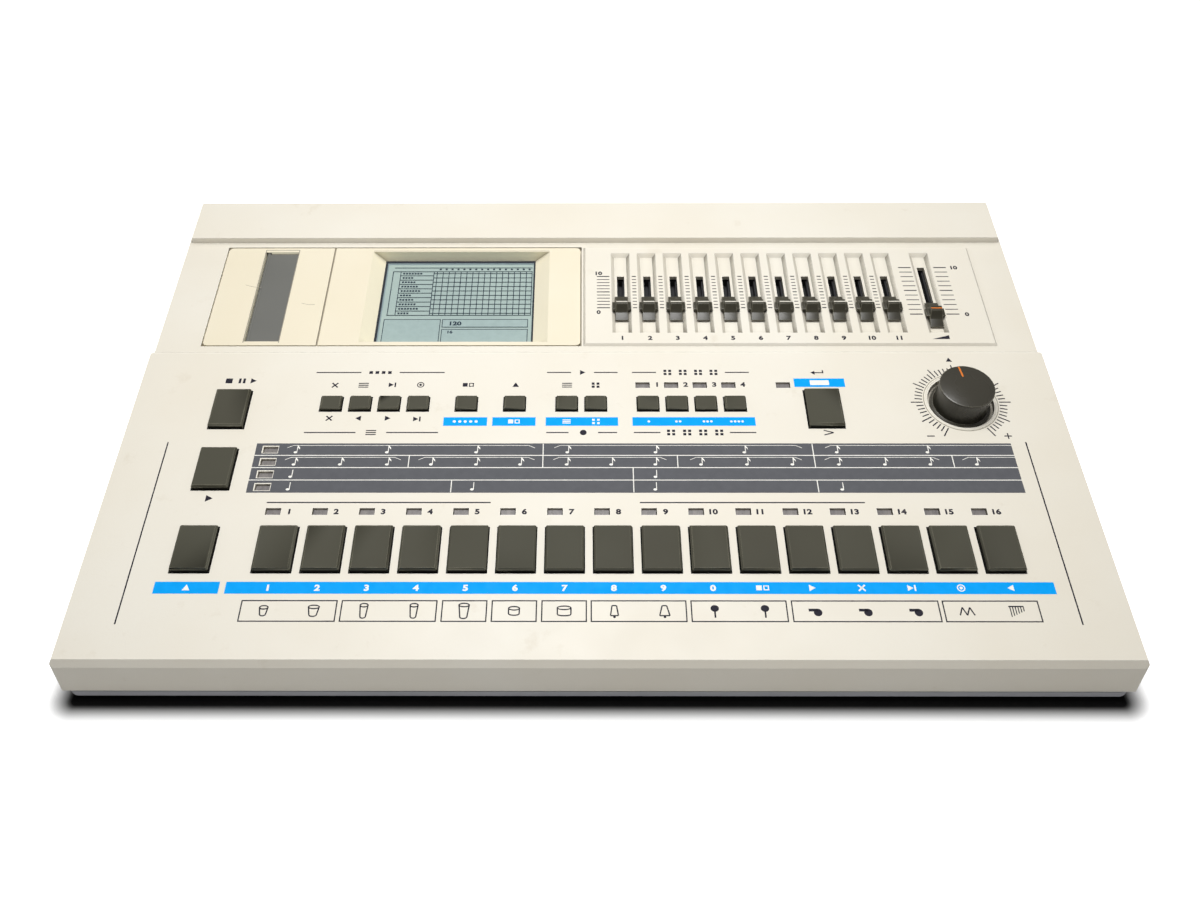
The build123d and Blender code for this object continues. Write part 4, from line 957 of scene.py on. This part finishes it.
def dial_scale(dark):
    """Ticks round the dial, every sixth degree, with longer ones every thirtieth."""
    start, short, long = DIAL_TICKS
    for turn in range(-150, 151, 6):
        angle = radians(90 - turn)
        reaches = (start, long if turn % 30 == 0 else short)
        ends = [(DIAL[0] + reach * cos(angle), DIAL[1] + reach * sin(angle)) for reach in reaches]
        dark.line(*ends, 0.5)
    wedge(dark, 148.4, 138.4, 1.5)
    for left in (131.6, 162.2):  # minus, and the bar of the plus
        dark.bar(left, 97.4, left + 3.0, 97.9)
    for front in (96.2, 97.9):
        dark.bar(163.45, front, 163.95, front + 1.2)


def scale_ticks(span):
    """Place and width of the eleven ticks of a scale, of which every fifth is heavier."""
    low, high = span
    heavy, light = 0.54, 0.4
    for i in range(11):
        yield low + (high - low) * i / 10, heavy if i % 5 == 0 else light


def fader_scales(dark):
    """Ticks left of the first fader, between the others and on both sides of the volume fader."""
    for v, width in scale_ticks(FADER_V):
        dark.across(1.0, v, 6.6, width)
        for k in range(FADER_COUNT - 1):
            middle = FADER_U + (k + 0.5) * BUTTON_PITCH
            dark.across(middle - 0.9, v, middle + 0.9, width)
    for v, width in scale_ticks(VOLUME_V):
        dark.across(136.7, v, 142.3, width)
        dark.across(152.5, v, 158.1, width)
    for number, u, v in ((10, 1.6, 189.9), (0, 1.6, 165.6), (10, 161.4, 193.4), (0, 161.4, 164.2)):
        dark.text(number, u, v, 2.1)
    for i in range(FADER_COUNT):
        dark.text(i + 1, FADER_U + i * BUTTON_PITCH, 150.2, 2.2)
    dark.plate([(143.6, 149.4), (151.0, 149.4), (151.0, 151.6)])


# Each row's height, the places of its notes and whether they have flags
NOTES = (
    (90.96, (-118.2, -82.2, -47.0, -11.1, 23.6, 58.5, 94.8, 130.4), True),
    (
        84.99,
        (-118.0, -99.9, -81.5, -64.3, -46.7, -29.5, -11.3, 6.1)
        + (23.3, 41.1, 59.0, 76.7, 94.8, 112.7, 130.4, 148.5),
        True,
    ),
    (79.01, (-118.3, 23.1), False),
    (73.04, (-118.3, -47.5, 22.8, 94.4), False),
)
BRACKETS = (
    (92.9, ((-122.1, -24.2), (-16.6, 81.1), (90.2, 163.8))),
    (
        87.0,
        ((-122.0, -76.6), (-69.6, -24.2), (-16.9, 27.5))
        + ((36.7, 80.3), (89.3, 134.0), (143.1, 163.8)),
    ),
)
# Lines across each row, from the front one
ROW_LINES = ((-55.9, 14.3, 85.0), (14.3,), (-73.4, -20.9, 31.8, 85.3, 139.3), (-20.9, 85.3))


def note(marks, u, v, flag):
    """A plain music note, with or without a flag."""
    stem, top = u + 0.4, v + 1.9
    marks.disc(u - 0.3, v - 1.45, 0.72, 14, 0.72)
    marks.bar(u + 0.1, v - 1.3, stem, top)
    if flag:
        marks.plate([(stem, top), (stem, v + 1.0), (u + 1.3, v - 0.1), (u + 1.2, v + 0.8)])


def bracket(marks, start, end, v, closed):
    """Thin line over a group of notes, with its ends bent down."""
    run, drop, overlap, width = 2.4, 1.2, 0.05, 0.2
    marks.line((start, v - drop), (start + run, v), width)
    marks.line((start + run - overlap, v), (end - (run if closed else 0), v), width)
    if closed:
        marks.line((end - run - overlap, v), (end, v - drop), width)


def note_strip(strip, pale):
    """Grey strip with a row of notes for each scale lamp, and a bare edge round each lamp."""
    left, front, right, rear = STRIP
    hole_left = SCALE_LAMP_U - LAMP_HOLE[0] / 2 - 0.45
    hole_right = SCALE_LAMP_U + LAMP_HOLE[0] / 2 + 0.2
    edge = front
    for v in SCALE_ROW_V:
        hole_front = v - LAMP_HOLE[1] / 2 - 0.25
        hole_rear = v + LAMP_HOLE[1] / 2 + 0.45
        strip.bar(left, edge, right, hole_front)
        strip.bar(left, hole_front, hole_left, hole_rear)
        strip.bar(hole_right, hole_front, right, hole_rear)
        edge = hole_rear
    strip.bar(left, edge, right, rear)
    pitch = (rear - front) / 4
    width = 0.36
    for i in (1, 2, 3):
        pale.across(left, front + i * pitch, right, width)
    for v, places, flag in NOTES:
        for u in places:
            note(pale, u, v, flag)
    for v, groups in BRACKETS:
        for start, end in groups:
            bracket(pale, start, end, v, end < right)
    for row, places in enumerate(ROW_LINES):
        low = front + row * pitch
        for u in places:
            pale.along(u, low + width / 2, low + pitch - width / 2, width)


def display_picture(lines, shade):
    """A table of sixteen columns, with two plain readouts under it."""
    left, box_right, labels_right, grid_left, right = -92.1, -88.3, -73.1, -71.8, -28.3
    front, rear, top = 169.4, 197.5, 200.0
    thin, dash, inset = 0.32, 0.9, 0.22
    rows = 10
    pitch = (rear - front) / rows
    lines.frame(left, front, right, rear, thin)
    lines.bar(left + 0.5, top - thin, right, top)
    for edge in (box_right, labels_right):
        lines.bar(edge - thin, front, edge, rear)
    for i in range(1, rows):
        lines.across(box_right, front + i * pitch, labels_right - thin, thin)
    for i in range(rows):
        v = front + (i + 0.5) * pitch
        for k in range(4 + (i * 3) % 4):
            start = box_right + 0.9 + k * 1.3
            lines.across(start, v, start + dash, dash)
        lines.across(labels_right, v, right, thin)
    column = (right - grid_left) / STEP_COUNT
    for i in range(STEP_COUNT):
        u = grid_left + i * column
        lines.along(u, front, rear, thin)
        lines.bar(u + 0.9, top - 1.6, u + 0.9 + dash, top - 1.6 + dash)
    readouts = (
        (-93.0, 151.5, -67.9, 167.1),
        (-67.2, 162.2, -29.4, 167.1),
        (-67.2, 151.5, -29.4, 161.1),
    )
    for left, front, right, rear in readouts:
        lines.frame(left, front, right, rear, 0.3)
        shade.bar(left + inset, front + inset, right - inset, rear - inset)
    lines.text(120, -61.5, 164.6, 2.3)
    lines.text(16, -63.5, 159.4, 1.6)


def print_legends(finishes):
    """All that is printed on the panel, one piece for each ink, and the display's picture."""
    dark = Print("panel_print_dark", finishes["dark_ink"])
    blue = Print("panel_print_blue", finishes["blue_ink"])
    strip = Print("note_strip", finishes["strip_ink"])
    pale = Print("panel_print_pale", finishes["pale_ink"], INK)
    headings(dark)
    button_symbols(dark)
    step_numbers(dark)
    group_numbers(dark, pale)
    blue_fields(blue, pale)
    voice_boxes(dark)
    side_lines(dark)
    dial_scale(dark)
    note_strip(strip, pale)
    for marks in (dark, blue, strip, pale):
        marks.make()
    field = Print("fader_print", finishes["dark_ink"], FIELD_RISE)
    fader_scales(field)
    field.make()
    lines = Print("display_lines", finishes["display_ink"], -GLASS_DEPTH + INK)
    shade = Print("display_shade", finishes["display_shade"], -GLASS_DEPTH)
    display_picture(lines, shade)
    lines.make()
    shade.make()


# Fine lines, gaps and painted shadows

MASK = (1.1, 0.8, 1.5)  # width of the painted shadow band at the display's left, right and rear edge
MASK_SHADE = (0.5, 0.8)  # width of the paler painted shadow inside it, at the left and the rear
KEY_GAP = (0.05, 0.45)  # how far from a key the painted shadow line in its gap starts and ends
KEY_GAP_LESS = (0.15, 0.2)  # how much nearer it ends on the right and behind
SLOT_EDGE = 0.35
SLOT_MARGIN = 0.75
# Fine scratches in the escutcheon, left and right of the cartridge slot
SCRATCHES = (
    ((-156.0, 183.6), (-152.4, 182.4), (-148.6, 181.8)),
    ((-129.2, 172.2), (-126.0, 171.2), (-123.2, 171.3)),
)


def display_mask(finishes):
    """Painted shadow: a dark band behind the edge of the glass, and a paler one on the display
    inside it.
    """
    left, front, right, rear = GLASS
    inner_left, inner_right, inner_rear = left + MASK[0], right - MASK[1], rear - MASK[2]
    mask = Print("display_mask", finishes["mask_ink"], -GLASS_DEPTH)
    mask.bar(left, inner_rear, right, rear)
    mask.bar(left, front, inner_left, inner_rear)
    mask.bar(inner_right, front, right, inner_rear)
    mask.make()
    soft = Print("display_mask_shade", finishes["mask_shade"], -GLASS_DEPTH)
    soft.bar(inner_left, inner_rear - MASK_SHADE[1], inner_right, inner_rear)
    soft.bar(inner_left, front, inner_left + MASK_SHADE[0], inner_rear - MASK_SHADE[1])
    soft.make()


def seam_fill(finishes):
    """Closes most of the joint line between the two parts of the panel, which is a fine one."""
    fill = Print("seam_fill", finishes["case"], -0.1)
    fill.across(-SEAM_END, SEAM_V, SEAM_END, SEAM_FILL)
    fill.make()


def outline(node, above=0.2):
    """Box round what lies above a height on the panel."""
    turned = [PANEL_TILT.inverted() @ (v.co - PANEL_FRONT) / MM for v in node.data.vertices]
    across = [place.x for place in turned if place.z > above]
    along = [place.y for place in turned if place.z > above]
    return min(across), min(along), max(across), max(along)


def key_gaps(finishes, nodes):
    """Painted shadow: a black line in the gap round every key and button, wider on the left and in
    front.
    """
    gaps = Print("key_gaps", finishes["hole"])
    near, far = KEY_GAP
    far_right, far_rear = far - KEY_GAP_LESS[0], far - KEY_GAP_LESS[1]
    for name, node in nodes.items():
        if is_key(name):
            left, front, right, rear = outline(node)
            inner = corners(left - near, front - near, right + near, rear + near)
            outer = corners(left - far, front - far, right + far_right, rear + far_rear)
            gaps.band(outer, inner)
    gaps.make()


def escutcheon_lines(finishes, flap):
    """Moulded line behind the display, faint edge round the cartridge slot, and fine scratches."""
    lines = Print("escutcheon_lines", finishes["faint_ink"])
    lines.bar(GLASS[0] - 5.0, GLASS[3] + 1.35, GLASS[2] + 6.4, GLASS[3] + 1.55)
    left, front, right, rear = outline(flap, -1.0)
    left, right, rear = left - SLOT_MARGIN, right + SLOT_MARGIN, rear + SLOT_MARGIN
    lines.bar(left, front, left + SLOT_EDGE, rear)
    lines.bar(right - SLOT_EDGE, front, right, rear)
    lines.bar(left + SLOT_EDGE, rear - SLOT_EDGE, right - SLOT_EDGE, rear)
    for points in SCRATCHES:
        lines.run(list(points), 0.16)
    lines.make()


def dial_line(finishes):
    """Painted shadow of the well's edge: a faint line round the dial."""
    line = Print("dial_line", finishes["faint_ink"])
    line.ring(*DIAL, 15.05, 0.3, 72)
    line.make()


def fader_lines(finishes):
    """A painted line across the ridge of each fader's cap."""
    places = [(f"fader_{i + 1:02d}", FADER_U + i * BUTTON_PITCH) for i in range(FADER_COUNT)]
    for name, u in places + [("volume_fader", VOLUME_U)]:
        last = name == "volume_fader"
        v = VOLUME_V[0] if last else FADER_V[0]
        paint = finishes["orange_paint" if last else "white_paint"]
        marks = Print(name + "_line", paint, CAP_RISE, name)
        marks.across(u - 2.4, v, u + 2.4, 0.6)
        marks.make()


def dial_pointer(finishes):
    """Painted line on the dial's top."""
    marks = Print("dial_pointer", finishes["orange_paint"], body="tempo_knob")
    marks.along(0, 5.1, 10.45, 0.72)
    marks.make(panel_matrix(*DIAL, DIAL_TOP) @ Matrix.Rotation(POINTER_TURN, 4, "Z"))


# Studio


def make_floor():
    """Pale floor that keeps the object's cast shadow, with a painted shadow near it, and is white to
    the camera further out.

    From below, the floor can't be seen.
    """
    mesh = bpy.data.meshes.new("floor")
    edges = corners(-FLOOR_HALF, -FLOOR_HALF, FLOOR_HALF, FLOOR_HALF)
    mesh.from_pydata([(x, y, 0) for x, y in edges], [], [(0, 1, 2, 3)])
    floor = bpy.data.objects.new("floor", mesh)
    bpy.context.scene.collection.objects.link(floor)
    finish = Finish("floor_paper")
    finish.set("Roughness", 0.9)
    finish.set("Specular IOR Level", 0.0)
    seen = finish.node("ShaderNodeLightPath").outputs["Is Camera Ray"]

    def vector_math(operation, *values):
        inputs = dict(enumerate(values))
        return finish.node("ShaderNodeVectorMath", inputs, operation=operation).outputs

    size = vector_math("ABSOLUTE", finish.place)["Vector"]
    beyond = vector_math("SUBTRACT", size, FOOTPRINT)["Vector"]
    outside = vector_math("MAXIMUM", beyond)["Vector"]
    distance = vector_math("LENGTH", outside)["Value"]
    # Painted shadow: to the camera, the floor is nearly black within the footprint and fades out
    # just outside it.
    close = finish.spread(distance, 1, 0, *SHADOW_CLOSE)
    paper = finish.mix(close, WHITE, SHADOW)
    finish.set("Base Color", finish.mix(seen, PAPER, paper))
    far = finish.spread(distance, 0, 1, *SHADOW_FAR)
    finish.set("Emission Color", WHITE)
    finish.set("Emission Strength", finish.times(seen, far))
    inputs = {
        "Fac": finish.node("ShaderNodeNewGeometry").outputs["Backfacing"],
        1: finish.shader.outputs["BSDF"],
        2: finish.node("ShaderNodeBsdfTransparent").outputs["BSDF"],
    }
    faces = finish.node("ShaderNodeMixShader", inputs).outputs["Shader"]
    finish.feed(finish.nodes["Material Output"].inputs["Surface"], faces)
    mesh.materials.append(finish.material)


def make_world():
    """White to the camera and through glass, and else a soft light, stronger from above."""
    world = bpy.data.worlds.new("studio")
    bpy.context.scene.world = world
    world.use_nodes = True
    tree = Tree(world.node_tree)
    path = tree.node("ShaderNodeLightPath").outputs
    place = tree.node("ShaderNodeTexCoord").outputs["Generated"]
    split = tree.node("ShaderNodeSeparateXYZ", {"Vector": place}).outputs
    inputs = {"Value": split["Z"], "To Min": SKY[0], "To Max": SKY[1]}
    height = tree.node("ShaderNodeMapRange", inputs).outputs["Result"]
    inputs = {0: path["Is Camera Ray"], 1: path["Is Transmission Ray"]}
    seen = tree.node("ShaderNodeMath", inputs, operation="MAXIMUM").outputs["Value"]
    strength = tree.node("ShaderNodeMix", {"Factor": seen, 2: height, 3: 1.0}).outputs[0]
    background = tree.nodes["Background"].inputs
    tree.feed(background["Color"], WHITE)
    tree.feed(background["Strength"], strength)


def make_lamp():
    """One soft lamp over the object."""
    light = bpy.data.lights.new("overhead", "AREA")
    light.shape = "RECTANGLE"
    light.size, light.size_y = LAMP_SIZE
    light.energy = LAMP_POWER
    lamp = bpy.data.objects.new("overhead", light)
    lamp.location = LAMP_PLACE
    aim = Vector(LAMP_AIM) - Vector(LAMP_PLACE)
    lamp.rotation_euler = aim.to_track_quat("-Z", "Y").to_euler()
    bpy.context.scene.collection.objects.link(lamp)


def make_camera():
    """Camera where the photograph was taken from."""
    camera = bpy.data.cameras.new("camera")
    camera.lens = LENS
    camera.sensor_width = SENSOR
    camera.shift_x = SHIFT
    camera.clip_start = 0.01
    holder = bpy.data.objects.new("camera", camera)
    turn = Matrix.Rotation(CAMERA_TURN, 4, "Z")
    down = Matrix.Rotation(pi / 2 - CAMERA_DOWN, 4, "X")
    roll = Matrix.Rotation(CAMERA_ROLL, 4, "Z")
    holder.matrix_world = Matrix.Translation(on_panel(*CAMERA_PLACE)) @ turn @ down @ roll
    bpy.context.scene.collection.objects.link(holder)
    bpy.context.scene.camera = holder


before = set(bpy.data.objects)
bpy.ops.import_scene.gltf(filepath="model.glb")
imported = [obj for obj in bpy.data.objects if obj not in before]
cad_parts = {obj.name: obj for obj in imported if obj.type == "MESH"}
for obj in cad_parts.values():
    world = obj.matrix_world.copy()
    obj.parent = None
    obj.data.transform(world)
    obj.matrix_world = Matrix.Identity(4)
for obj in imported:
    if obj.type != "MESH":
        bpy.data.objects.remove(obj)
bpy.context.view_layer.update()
all_finishes = make_finishes()
dress_nodes(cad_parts, all_finishes)
soften_nodes(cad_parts)
make_knob(all_finishes)
dial_ring(all_finishes)
jack_rings(all_finishes)
contact_holes(all_finishes)
jack_numbers(all_finishes)
screws(all_finishes)
cover_arrow(all_finishes)
print_legends(all_finishes)
display_mask(all_finishes)
seam_fill(all_finishes)
key_gaps(all_finishes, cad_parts)
escutcheon_lines(all_finishes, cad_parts["cartridge_flap"])
dial_line(all_finishes)
fader_lines(all_finishes)
dial_pointer(all_finishes)
make_floor()
make_world()
make_lamp()
make_camera()
bpy.context.scene.view_settings.view_transform = "Standard"
